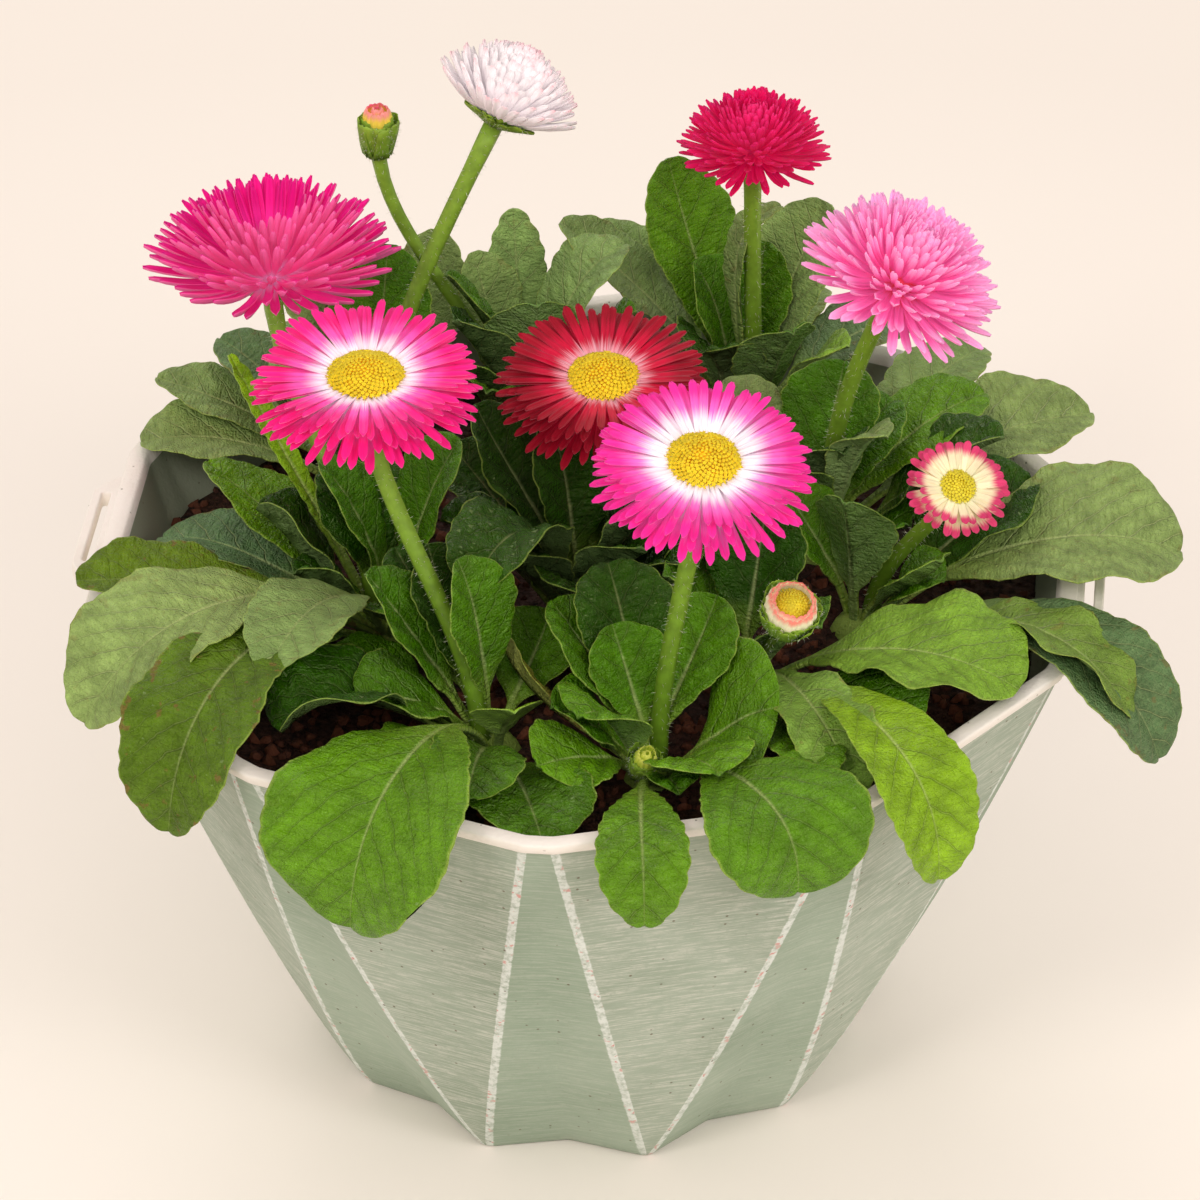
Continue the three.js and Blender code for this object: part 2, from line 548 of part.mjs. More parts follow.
// Plants: the crown's place on the soil, then its leaves, each as
// tip x, y, z, rise at the root, pitch at the tip, sideways bow, width, roll
const plants = {
  front: {
    crown: [14, -68],
    leaves: [
      [12, -131, 119, 37, -92, -10, 21, 0],
      [46, -117, 118, 46, -100, 8, 40, 8],
      [43, -74, 139, 42, 10, 0, 40, 30],
      [-12, -90, 134, 50, 5, 0, 23, -20],
      [20, -92, 128, 30, -10, 0, 10, 0],
      [6, -60, 127, 46, 55, 0, 15, 0],
      [5, -53, 148, 80, 55, 0, 22, 0],
      [-9, -48, 151, 67, 35, 0, 27, 20],
      [4, -38, 155, 68, 33, 0, 20, 0],
      [29, -47, 152, 80, 60, 0, 18, 0],
      [-20, -45, 140, 40, 60, 25, 9, 60],
      [29, -99, 138, 45, 0, 0, 20, 0],
      [-9, -72, 138, 56, 20, 0, 18, 0],
      [-3, -85, 144, 65, 0, 0, 20, 0],
    ],
  },
  front_left: {
    crown: [-22, -58],
    leaves: [
      [-53, -121, 111, 60, -92, 0, 50, 12],
      [-70, -80, 136, 42, -40, -14, 40, 16],
      [-27, -106, 136, 42, -15, 0, 17, -20],
      [-17, -75, 139, 70, 40, 0, 13, 0],
      [-30, -52, 165, 84, 60, 0, 17, 0],
      [-51, -50, 160, 60, 50, 0, 22, 0],
      [-37, -38, 160, 76, 70, 0, 22, 0],
      [-10, -111, 126, 30, -18, 0, 30, 0],
      [-53, -70, 140, 60, 10, 0, 20, 0],
      [-9, -35, 140, 56, 55, 0, 20, 0],
      [-45, -30, 154, 60, 40, 0, 18, 0],
      [-61, -52, 136, 40, 10, 0, 20, 0],
      [-41, -86, 130, 34, -10, 0, 20, 0],
    ],
  },
  left: {
    crown: [-47, -11],
    leaves: [
      [-116, -60, 124, 55, -60, 0, 36, 0],
      [-73, -66, 143, 65, -30, 0, 25, 0],
      [-95, -89, 114, 48, -84, -10, 34, 0],
      [-78, -5, 149, 36, 30, 0, 30, 30],
      [-69, -19, 140, 71, 30, 0, 15, 20],
      [-91, 16, 148, 42, 20, 0, 27, 20],
      [-102, 10, 130, 26, -25, 0, 27, 10],
      [-120, -22, 139, 38, 0, 0, 20, 0],
      [-84, -34, 129, 30, -10, 0, 16, 0],
      [-85, 23, 174, 52, 50, 0, 5, 0],
      [-63, -6, 162, 88, 45, 0, 16, 0],
      [-30, -2, 166, 80, 50, 0, 24, 0],
      [-77, -46, 136, 34, 0, 0, 20, 0],
      [-25, -26, 144, 62, 20, 0, 20, 0],
      [-43, -44, 143, 60, 20, 0, 18, 0],
      [-61, 6, 153, 78, 18, 0, 20, 0],
    ],
  },
  back_left: {
    crown: [-53, 50],
    leaves: [
      [-109, 45, 135, 40, -15, 0, 25, 0],
      [-106, 64, 142, 48, 10, 0, 16, 0],
      [-91, 76, 146, 42, 10, 0, 22, 0],
      [-72, 88, 180, 75, 70, 0, 17, 0],
      [-49, 76, 173, 88, 60, 0, 20, 0],
      [-81, 44, 151, 65, 40, 0, 17, 0],
      [-37, 95, 166, 44, 60, 0, 22, 0],
      [-69, 106, 134, 50, -20, 0, 24, 0],
      [-35, 36, 156, 78, 50, 0, 20, 0],
      [-69, 34, 158, 80, 50, 0, 18, 0],
      [-41, 52, 162, 64, 75, 0, 18, 0],
      [-64, 57, 158, 72, 40, 0, 20, 0],
      [-77, 62, 150, 60, 20, 0, 20, 0],
    ],
  },
  centre: {
    crown: [-3, -8],
    leaves: [
      [-27, 10, 168, 88, 60, 0, 18, 0],
      [-10, 2, 170, 88, 51, 0, 17, 0],
      [-27, -48, 152, 84, -50, 0, 26, 0],
      [13, -28, 152, 75, 40, 0, 20, 0],
      [23, 6, 152, 65, 40, 0, 20, 0],
      [1, 26, 156, 50, 40, 0, 22, 0],
      [-19, -26, 150, 68, 50, 0, 17, 0],
      [-33, 20, 150, 58, 30, 0, 20, 0],
      [-1, -42, 148, 64, 20, 0, 18, 0],
      [-35, -12, 150, 60, 20, 0, 18, 0],
      [33, -12, 150, 60, 30, 0, 18, 0],
      [17, -14, 158, 86, 50, 0, 20, 0],
      [-15, 14, 152, 58, 40, 0, 20, 0],
      [25, -31, 149, 50, 8, 0, 20, 0],
    ],
  },
  back: {
    crown: [-15, 72],
    leaves: [
      [9, 84, 168, 80, 10, 0, 24, 0],
      [-19, 100, 169, 75, 75, 0, 11, 0],
      [-35, 70, 168, 88, 48, 0, 8, 0],
      [-13, 62, 164, 78, 75, 0, 19, 0],
      [1, 64, 157, 64, 50, 0, 17, 0],
      [-29, 89, 163, 59, 60, 0, 15, 0],
      [-25, 44, 150, 62, 30, 0, 20, 0],
      [-27, 120, 135, 55, -20, 0, 26, 0],
      [5, 44, 148, 60, 20, 0, 20, 0],
      [-33, 58, 150, 70, 40, 0, 18, 0],
      [-33, 58, 162, 80, 50, 0, 18, 0],
      [11, 66, 160, 50, 50, 0, 18, 0],
    ],
  },
  back_right: {
    crown: [37, 80],
    leaves: [
      [-8, 95, 168, 72, 32, 0, 21, 0],
      [1, 108, 160, 57, 20, 0, 17, 0],
      [11, 80, 141, 52, -30, 0, 21, 0],
      [19, 104, 181, 80, 70, 0, 26, 0],
      [47, 85, 178, 86, -2, 0, 8, 0],
      [58, 100, 171, 75, 55, 0, 26, 0],
      [43, 96, 162, 80, 60, 0, 15, 0],
      [26, 62, 150, 68, 10, 0, 20, 0],
      [63, 66, 150, 39, 20, 0, 13, 0],
      [53, 118, 137, 58, -20, 0, 24, 0],
      [81, 98, 138, 52, -15, 0, 24, 0],
      [49, 62, 156, 60, 50, 0, 18, 0],
      [25, 86, 162, 82, 50, 0, 20, 0],
    ],
  },
  right: {
    crown: [53, 26],
    leaves: [
      [95, 44, 150, 60, 5, 0, 28, 0],
      [96, 78, 142, 52, -10, 0, 21, 0],
      [121, 46, 143, 48, -5, 0, 34, 0],
      [98, 18, 154, 38, 25, 0, 26, 0],
      [70, 8, 160, 62, 10, 0, 12, 0],
      [31, 44, 153, 68, 10, 0, 15, 0],
      [41, 8, 152, 76, 50, 0, 20, 0],
      [31, 20, 156, 86, 50, 0, 20, 0],
      [61, 46, 158, 76, 50, 0, 20, 0],
      [49, 50, 146, 58, 30, 0, 20, 0],
      [76, 10, 134, 39, 22, 0, 20, 0],
      [73, 44, 148, 60, 10, 0, 20, 0],
      [60, 12, 153, 70, 30, 0, 20, 0],
    ],
  },
  middle_right: {
    crown: [63, -8],
    leaves: [
      [139, -8, 138, 48, -25, 0, 46, 12],
      [131, -57, 112, 44, -72, 0, 30, 0],
      [105, 12, 145, 39, 10, 0, 35, 0],
      [124, -57, 124, 38, -58, 0, 22, -20],
      [81, -26, 148, 78, 60, 0, 13, 0],
      [59, -14, 156, 84, 70, 0, 22, 0],
      [45, 2, 150, 76, 50, 0, 17, 0],
      [83, -14, 134, 55, 0, 0, 18, 0],
    ],
  },
  right_front: {
    crown: [35, -34],
    leaves: [
      [98, -63, 136, 48, -25, 0, 42, 0],
      [74, -74, 134, 36, -8, 0, 26, 0],
      [60, -95, 128, 58, -38, 0, 16, 0],
      [53, -98, 137, 32, 14, 0, 13, 0],
      [78, -103, 111, 46, -96, 0, 25, 0],
      [17, -40, 153, 76, 60, 0, 18, 0],
      [41, -14, 156, 78, 60, 0, 20, 0],
      [17, -22, 142, 60, 30, 0, 18, 0],
      [53, -48, 144, 68, 20, 0, 20, 0],
    ],
  },
};
function headFrame(bloom) {
  const facing = around(bloom.turn, Math.sin(bloom.tilt * DEG), Math.cos(bloom.tilt * DEG));
  const turn = new THREE.Quaternion().setFromUnitVectors(UP, facing);
  return { place: new THREE.Vector3(...bloom.at), turn, facing };
}

// Green bracts: a shallow pointed star under an open bloom, a deep cup under a bud
function bractGeometry(bloom) {
  const kind = kinds[bloom.kind];
  const radius = kind.bracts * bloom.size;
  const deep = bloom.kind === 'bud';
  const depth = (deep ? cupDepth : starDepth) * Math.sqrt(bloom.size);
  const count = 2 * bractCount;
  const ringAt = (pick) => Array.from({ length: count }, (unused, i) => {
    const [r, z] = pick(i % 2 === 0);
    const angle = i * 360 / count * DEG;
    return new THREE.Vector3(r * Math.cos(angle), r * Math.sin(angle), z);
  });
  const rings = [ringAt(() => [scapeRadius * 1.15, -depth])];
  if (deep) {
    rings.push(ringAt(() => [radius * 0.95, -depth * 0.6]));
  }
  rings.push(ringAt((tip) => (tip ? [radius * 1.08, -0.4] : [radius * 0.86, 0])));
  return ringSkin(rings);
}

function scapeSolid(root, frame, depth) {
  const end = frame.place.clone().addScaledVector(frame.facing, -depth * 0.6);
  const reach = root.distanceTo(end);
  const curve = new THREE.CubicBezierCurve3(
    root,
    root.clone().addScaledVector(UP, reach * scapePull),
    end.clone().addScaledVector(frame.facing, -reach * scapePull),
    end,
  );
  const corner = (i) => new THREE.Vector2(
    scapeRadius * Math.cos(i * 2 * Math.PI / scapeSides),
    scapeRadius * Math.sin(i * 2 * Math.PI / scapeSides));
  const outline = new THREE.Shape(Array.from({ length: scapeSides }, (unused, i) => corner(i)));
  return solidOf(new THREE.ExtrudeGeometry(outline, { steps: scapeSteps, extrudePath: curve }));
}

function crownSolid([x, y]) {
  const profile = [
    new THREE.Vector2(0, crownFoot),
    new THREE.Vector2(crownRadius, crownFoot),
    new THREE.Vector2(crownRadius, crownShoulder - 1),
    new THREE.Vector2(0, crownTop),
  ];
  const geometry = new THREE.LatheGeometry(profile, crownSides);
  geometry.rotateX(90 * DEG).translate(x, y, 0);
  return solidOf(geometry);
}

function makePlant(name) {
  const { crown: [x, y], leaves } = plants[name];
  const pieces = [crownSolid([x, y])];
  const rootFor = (angle, rise) => {
    const out = rootOut + rootSpread * Math.cos(rise * DEG);
    const height = rootHeight + rootClimb * Math.sin(rise * DEG);
    return new THREE.Vector3(x + out * Math.cos(angle), y + out * Math.sin(angle), height);
  };
  leaves.forEach((row, i) => {
    const angle = Math.atan2(row[1] - y, row[0] - x);
    pieces.push(leafSolid(rootFor(angle, row[3]), row, i * 1.7));
  });
  for (const bloom of Object.values(blooms).filter((entry) => entry.plant === name)) {
    const frame = headFrame(bloom);
    const angle = Math.atan2(frame.place.y - y, frame.place.x - x);
    const star = bractGeometry(bloom);
    star.applyQuaternion(frame.turn).translate(...bloom.at);
    pieces.push(solidOf(star));
    pieces.push(scapeSolid(rootFor(angle + 0.9, 60), frame, 4));
  }
  // The outer shell alone, so that small spaces sealed between crossing stalks are filled
  const shells = wasm.Manifold.union(pieces).decompose();
  const plant = shells.reduce((one, other) => (one.volume() > other.volume() ? one : other));
  addMesh(daisy, `plant_${name}`, geometryOf(plant), leafMaterial);
}

function makeBloom(name, seed) {
  const bloom = blooms[name];
  const kind = kinds[bloom.kind];
  const frame = headFrame(bloom);
  const head = new THREE.Group();
  head.position.copy(frame.place);
  head.quaternion.copy(frame.turn);
  daisy.add(head);
  addMesh(head, `rays_${name}`, rayGeometry(kind, bloom.size, seed), surface(bloom.colour, 0.55));
  if (bloom.disc) {
    const [radius, height] = bloom.disc;
    const foot = kind.dish[1] * bloom.size + 2 * gap;
    const material = bloom.discColour ? surface(bloom.discColour, 0.7) : discMaterial;
    const scale = bloom.kind === 'bud' ? bloom.size : 1;
    const disc = discGeometry(radius * scale, height * scale, discCount, foot);
    addMesh(head, `disc_${name}`, disc, material);
  }
}

makePot();
makeSoil(Object.values(plants).map((plant) => plant.crown));
Object.keys(plants).forEach((name) => makePlant(name));
Object.keys(blooms).forEach((name, i) => makeBloom(name, 101 + i * 17));

export default daisy;
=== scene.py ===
# %% [markdown]
# # A potted english daisy
# A ten-sided bowl of painted resin holds peat and ten small bellis plants in bloom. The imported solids
# give every place and size. This notebook dresses them: each plant gets its real leaves, hairy stalks
# and layered petals, the peat gets its crumbs, and the bowl gets its rubbed paint.
#
# The solids come in as a fixed frame in metres, with +Z up and the photo's side towards -Y. Lengths
# below are written in millimetres, as a gardener would measure them, and `MM` turns them to metres.

import math

import bmesh
import bpy
import numpy as np
from mathutils import Matrix, Vector, noise


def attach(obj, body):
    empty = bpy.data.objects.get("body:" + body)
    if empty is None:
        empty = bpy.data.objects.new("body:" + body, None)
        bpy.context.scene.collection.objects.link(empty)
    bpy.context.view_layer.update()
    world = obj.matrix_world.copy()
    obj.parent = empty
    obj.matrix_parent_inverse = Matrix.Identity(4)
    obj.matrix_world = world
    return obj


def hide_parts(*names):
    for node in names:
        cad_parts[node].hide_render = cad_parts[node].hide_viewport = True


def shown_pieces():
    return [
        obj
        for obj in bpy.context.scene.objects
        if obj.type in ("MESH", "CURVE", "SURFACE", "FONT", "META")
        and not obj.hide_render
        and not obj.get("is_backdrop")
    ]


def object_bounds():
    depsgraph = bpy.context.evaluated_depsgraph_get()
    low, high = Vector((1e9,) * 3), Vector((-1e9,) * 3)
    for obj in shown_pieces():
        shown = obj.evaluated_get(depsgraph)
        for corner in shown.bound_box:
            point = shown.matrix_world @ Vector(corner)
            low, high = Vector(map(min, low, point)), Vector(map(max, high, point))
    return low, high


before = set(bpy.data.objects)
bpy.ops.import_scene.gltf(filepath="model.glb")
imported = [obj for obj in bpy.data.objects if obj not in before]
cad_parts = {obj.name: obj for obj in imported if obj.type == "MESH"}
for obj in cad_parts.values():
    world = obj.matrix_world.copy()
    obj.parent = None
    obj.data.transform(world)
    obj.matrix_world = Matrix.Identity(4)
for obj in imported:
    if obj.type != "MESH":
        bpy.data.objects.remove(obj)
CAD_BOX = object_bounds()
MM = 0.001
print("nodes in the frame:", len(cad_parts))

# %% [markdown]
# ## Colours and nodes
# Colours are picked as sRGB hex values, the way a colour picker shows them, but shaders mix light, so
# they need linear numbers. One function does that turn for the whole file. A material here is a chain of
# nodes that ends in one main shader, so a small function adds any node with its settings and links.

# %% Helpers for colours and nodes
def linear(code):
    """Linear RGBA from an sRGB hex value."""
    channels = [int(code[i:i + 2], 16) / 255 for i in (1, 3, 5)]
    return [c / 12.92 if c <= 0.04045 else ((c + 0.055) / 1.055) ** 2.4 for c in channels] + [1]


def wire(tree, node, inputs):
    """Fills a node's sockets with values or links. A node as a value means its first output in use."""
    for name, value in inputs.items():
        if isinstance(value, bpy.types.Node):
            value = next(out for out in value.outputs if out.enabled)
        if isinstance(value, bpy.types.NodeSocket):
            tree.links.new(value, node.inputs[name])
        else:
            node.inputs[name].default_value = value


def add(tree, kind, inputs=None, **settings):
    """Adds a node with its settings, then its values and links."""
    node = tree.nodes.new(kind)
    for name, value in settings.items():
        setattr(node, name, value)
    wire(tree, node, inputs or {})
    return node


def new_material(name):
    """A material with its node tree and its main shader."""
    material = bpy.data.materials.new(name)
    material.use_nodes = True
    return material, material.node_tree, material.node_tree.nodes["Principled BSDF"]


# %% [markdown]
# ## Meshes and pieces
# A mesh is points and faces. Values can be stored on its points under a name, and the material reads them
# by that name, which is how a leaf's colour knows where its veins run. Every shape here is closed, so its
# faces can be turned outwards. It is kept in the place where it belongs, so its object never moves.

# %% Helpers for meshes and pieces
def turn_outward(mesh, weld=0):
    """Turns every face outwards, after points that lie closer than the weld distance are merged."""
    work = bmesh.new()
    work.from_mesh(mesh)
    if weld:
        bmesh.ops.remove_doubles(work, verts=work.verts, dist=weld)
    bmesh.ops.recalc_face_normals(work, faces=work.faces)
    work.to_mesh(mesh)
    work.free()


def new_mesh(name, points, faces, values=None, colours=None):
    """A mesh from points in metres and faces, with values and colours kept on the points."""
    mesh = bpy.data.meshes.new(name)
    mesh.from_pydata([tuple(p) for p in points], [], [tuple(int(i) for i in f) for f in faces])
    for key, row in (values or {}).items():
        mesh.attributes.new(key, "FLOAT", "POINT").data.foreach_set("value", np.float32(row))
    for key, row in (colours or {}).items():
        mesh.attributes.new(key, "FLOAT_COLOR", "POINT").data.foreach_set("color", np.float32(row).ravel())
    turn_outward(mesh)
    return mesh


def coat(mesh, material):
    """Shades a mesh smooth and gives it its material."""
    mesh.polygons.foreach_set("use_smooth", [True] * len(mesh.polygons))
    mesh.materials.append(material)
    return mesh


def place_piece(name, mesh, matrix=None):
    """Puts a finished mesh in the scene, with its place kept in its points."""
    mesh.name = name
    if matrix is not None:
        mesh.transform(matrix)
    piece = bpy.data.objects.new(name, mesh)
    bpy.context.scene.collection.objects.link(piece)
    return piece


def make_piece(name, points, faces, material, values=None, colours=None):
    """A smooth piece from points in metres and faces."""
    return place_piece(name, coat(new_mesh(name, points, faces, values, colours), material))


def dress(piece, slot, *nodes):
    """The piece rides on the pot's one body and stands for these solids, which it hides. The slot is not
    used.
    """
    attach(piece, "root")
    if nodes:
        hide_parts(*nodes)


# %% Helpers for faces
def grid_faces(rows, columns, closed=False):
    """Quads over a grid of points, row by row, with the last column joined to the first if closed."""
    span = columns if closed else columns - 1
    return [
        (r * columns + c, r * columns + (c + 1) % columns,
         (r + 1) * columns + (c + 1) % columns, (r + 1) * columns + c)
        for r in range(rows - 1) for c in range(span)
    ]


def fan_faces(centre, first, sides, under=False):
    """Triangles that close a ring of points towards one point, seen from above or from under."""
    edges = [(first + i, first + (i + 1) % sides) for i in range(sides)]
    return [(centre, b, a) if under else (centre, a, b) for a, b in edges]


def tube_faces(rings, sides):
    """Faces of a closed tube: rings of points, then one point for the foot and one for the top."""
    foot = rings * sides
    faces = grid_faces(rings, sides, closed=True)
    return faces + fan_faces(foot, 0, sides, under=True) + fan_faces(foot + 1, foot - sides, sides)


def sheet_faces(rows, columns):
    """Faces of a thin closed sheet: a grid of points, the same grid under it, and the edge all round."""
    count = rows * columns
    rim = list(range(columns))
    rim += [r * columns + columns - 1 for r in range(1, rows)]
    rim += [(rows - 1) * columns + c for c in range(columns - 2, -1, -1)]
    rim += [r * columns for r in range(rows - 2, 0, -1)]
    faces = grid_faces(rows, columns)
    faces += [tuple(i + count for i in reversed(face)) for face in faces]
    faces += [(a, a + count, b + count, b) for a, b in zip(rim, rim[1:] + rim[:1])]
    return faces


def smooth_step(low, high, value):
    """Rises from 0 to 1 between two values, level at both ends."""
    share = np.clip((value - low) / (high - low), 0, 1)
    return share * share * (3 - 2 * share)


# %% [markdown]
# ## Camera
# The photo looks down on the bowl from about 33 degrees, through a long lens, so its sides hardly
# converge. A target near the rim keeps the bowl and the tallest bloom in the frame.

# %% Camera
VIEW_ELEVATION = 33.4
VIEW_TARGET = Vector((2.3, 0, 119.2)) * MM
VIEW_DISTANCE = 1500 * MM
VIEW_WIDTH = 284 * MM             # width of what the frame takes in, at the target

camera_data = bpy.data.cameras.new("camera")
camera = bpy.data.objects.new("camera", camera_data)
bpy.context.scene.collection.objects.link(camera)
pitch = math.radians(VIEW_ELEVATION)
back = Vector((0, -math.cos(pitch), math.sin(pitch)))
camera.location = VIEW_TARGET + back * VIEW_DISTANCE
camera.rotation_euler = (-back).to_track_quat("-Z", "Y").to_euler()
camera_data.lens = camera_data.sensor_width * VIEW_DISTANCE / VIEW_WIDTH
camera_data.clip_start = 0.05
bpy.context.scene.camera = camera
print("lens:", round(camera_data.lens), "mm")

# %% [markdown]
# ## Floor and light
# The light is a studio's: a window at the front left, a slightly weaker one at the right, a fill from the
# front, and a broad faint panel behind, which puts the wet shine on the leaves. A pale warm sky lies over
# a cream floor. The floor is painted paler round the bowl, a painted light that lifts the bowl's shadow,
# and darker farther out, a painted shade. Big lamps give soft shadows.

# %% Floor and light
FLOOR_HALF = 3.0                  # metres
# painted light on the floor within the first reach of the bowl, painted shade beyond the second
PAINTED_LIGHT_REACH, PAINTED_SHADE_REACH = 0.15, 0.5
SKY_STRENGTH, REFLECTED_SKY_STRENGTH = 0.78, 0.4
LAMPS = {                         # place in metres, width in metres, watts, colour
    "key_window": ((-1.2, -2.0, 2.1), 0.7, 19, "#fffaf4"),
    "front_fill": ((0.3, -2.3, 1.9), 1.1, 10, "#fffaf6"),
    "right_window": ((1.5, -1.7, 1.7), 0.9, 16, "#fffcfa"),
    "back_panel": ((-0.35, 1.7, 1.35), 1.2, 8, "#fffdfb"),
}


def floor_material():
    """Matt cream paper sweep, painted paler round the bowl and darker farther out: painted light and shade
    that make it read as an even pale ground.
    """
    material, tree, shader = new_material("matt_paper_sweep")
    place = add(tree, "ShaderNodeTexCoord").outputs["Object"]
    reach = add(tree, "ShaderNodeVectorMath", {0: place}, operation="LENGTH")
    away = add(tree, "ShaderNodeMapRange",
               {"Value": reach.outputs["Value"], 1: PAINTED_LIGHT_REACH, 2: PAINTED_SHADE_REACH})
    # painted light near the bowl blends into painted shade farther out
    colour = add(tree, "ShaderNodeMix", {0: away, 6: linear("#f8efe7"), 7: linear("#ece3da")},
                 data_type="RGBA")
    wire(tree, shader, {"Base Color": colour, "Roughness": 0.9})
    return material


corners = [(-FLOOR_HALF, -FLOOR_HALF, 0), (FLOOR_HALF, -FLOOR_HALF, 0),
           (FLOOR_HALF, FLOOR_HALF, 0), (-FLOOR_HALF, FLOOR_HALF, 0)]
floor = make_piece("floor", corners, [(0, 1, 2, 3)], floor_material())
floor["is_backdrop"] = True

for name, (place, width, watts, tint) in LAMPS.items():
    lamp_data = bpy.data.lights.new(name, "AREA")
    lamp_data.shape = "DISK"
    lamp_data.size = width
    lamp_data.energy = watts
    lamp_data.color = linear(tint)[:3]
    lamp = bpy.data.objects.new(name, lamp_data)
    lamp.location = place
    lamp.rotation_euler = (Vector(place) - VIEW_TARGET).to_track_quat("Z", "Y").to_euler()
    bpy.context.scene.collection.objects.link(lamp)

world = bpy.data.worlds.new("pale_sky")
world.use_nodes = True
# reflections see a dimmer room than the floor does, as in a studio whose walls are hung with black
ray = add(world.node_tree, "ShaderNodeLightPath")
room = add(world.node_tree, "ShaderNodeMapRange",
           {"Value": ray.outputs["Is Glossy Ray"], 3: SKY_STRENGTH, 4: REFLECTED_SKY_STRENGTH})
wire(world.node_tree, world.node_tree.nodes["Background"],
     {"Color": linear("#fff8f2"), "Strength": room})
bpy.context.scene.world = world
bpy.context.scene.view_settings.view_transform = "Standard"
print("lamps:", ", ".join(LAMPS))

# %% [markdown]
# ## The shape of a daisy leaf
# A bellis leaf is a spoon: a pale winged stalk that widens into a round blade with a shallow scalloped
# edge, a sunken midrib, and a surface that puckers up between the side veins. Drawing each leaf by hand
# would never end, so one function bends a grid of points along the leaf's own curve. The numbers of a
# leaf are the same as in the solids: where its tip is, how steeply it rises at the crown and points at
# the tip, how far it bows sideways, its width, and its roll.

# %% Leaf surface
LEAF_ROWS = 48                    # points along a leaf
LEAF_CROWDING = 1.35              # above 1 its rows lie closer together towards the tip
LEAF_END = 0.99                   # the last row stops just short of the tip, so that it has a width
LEAF_COLUMNS = 13                 # points across it
LEAST_HALF_WIDTH = 0.3
STALK_SHARE = 0.22                # share of the leaf that is bare stalk
STALK_HALF_WIDTH = 1.6
STALK_THICKNESS = 1.9
BLADE_THICKNESS = 0.55
SCALLOP = 0.75                    # depth of the scallops of the edge
SCALLOP_LENGTH = 4.6
VEIN_SPACING = 7.5                # between side veins
VEIN_SLOPE = 0.95                 # how far a side vein runs forward for each mm outwards
VEIN_CURVE = 0.018                # and how much farther for each square mm
GROOVE_DEPTH, GROOVE_REACH = 0.45, 0.9    # the midrib's groove in the upper face
RIB_DEPTH, RIB_REACH = 0.9, 1.1           # and its ridge under the leaf
WAVE_LENGTH = 17                  # from one wave of the edge to the next
FILLER_WIDTH = 20                 # up to this width a leaf is an inner one
FILLER_GROWTH = 1.3               # and its blade is drawn fuller, to close the bed


def arc_pull(turn):
    """Length of a curve's handles, as a share of its chord, for an arc that turns by this angle."""
    angle = math.radians(max(20, abs(turn)))
    return 2 / 3 * math.tan(angle / 4) / math.sin(angle / 2)


def bend(p0, p1, p2, p3, share):
    """Points and unit directions along a cubic curve."""
    t = share[:, None]
    u = 1 - t
    place = u**3 * p0 + 3 * u * u * t * p1 + 3 * u * t * t * p2 + t**3 * p3
    along = u * u * (p1 - p0) + 2 * u * t * (p2 - p1) + t * t * (p3 - p2)
    return place, along / np.linalg.norm(along, axis=1, keepdims=True)


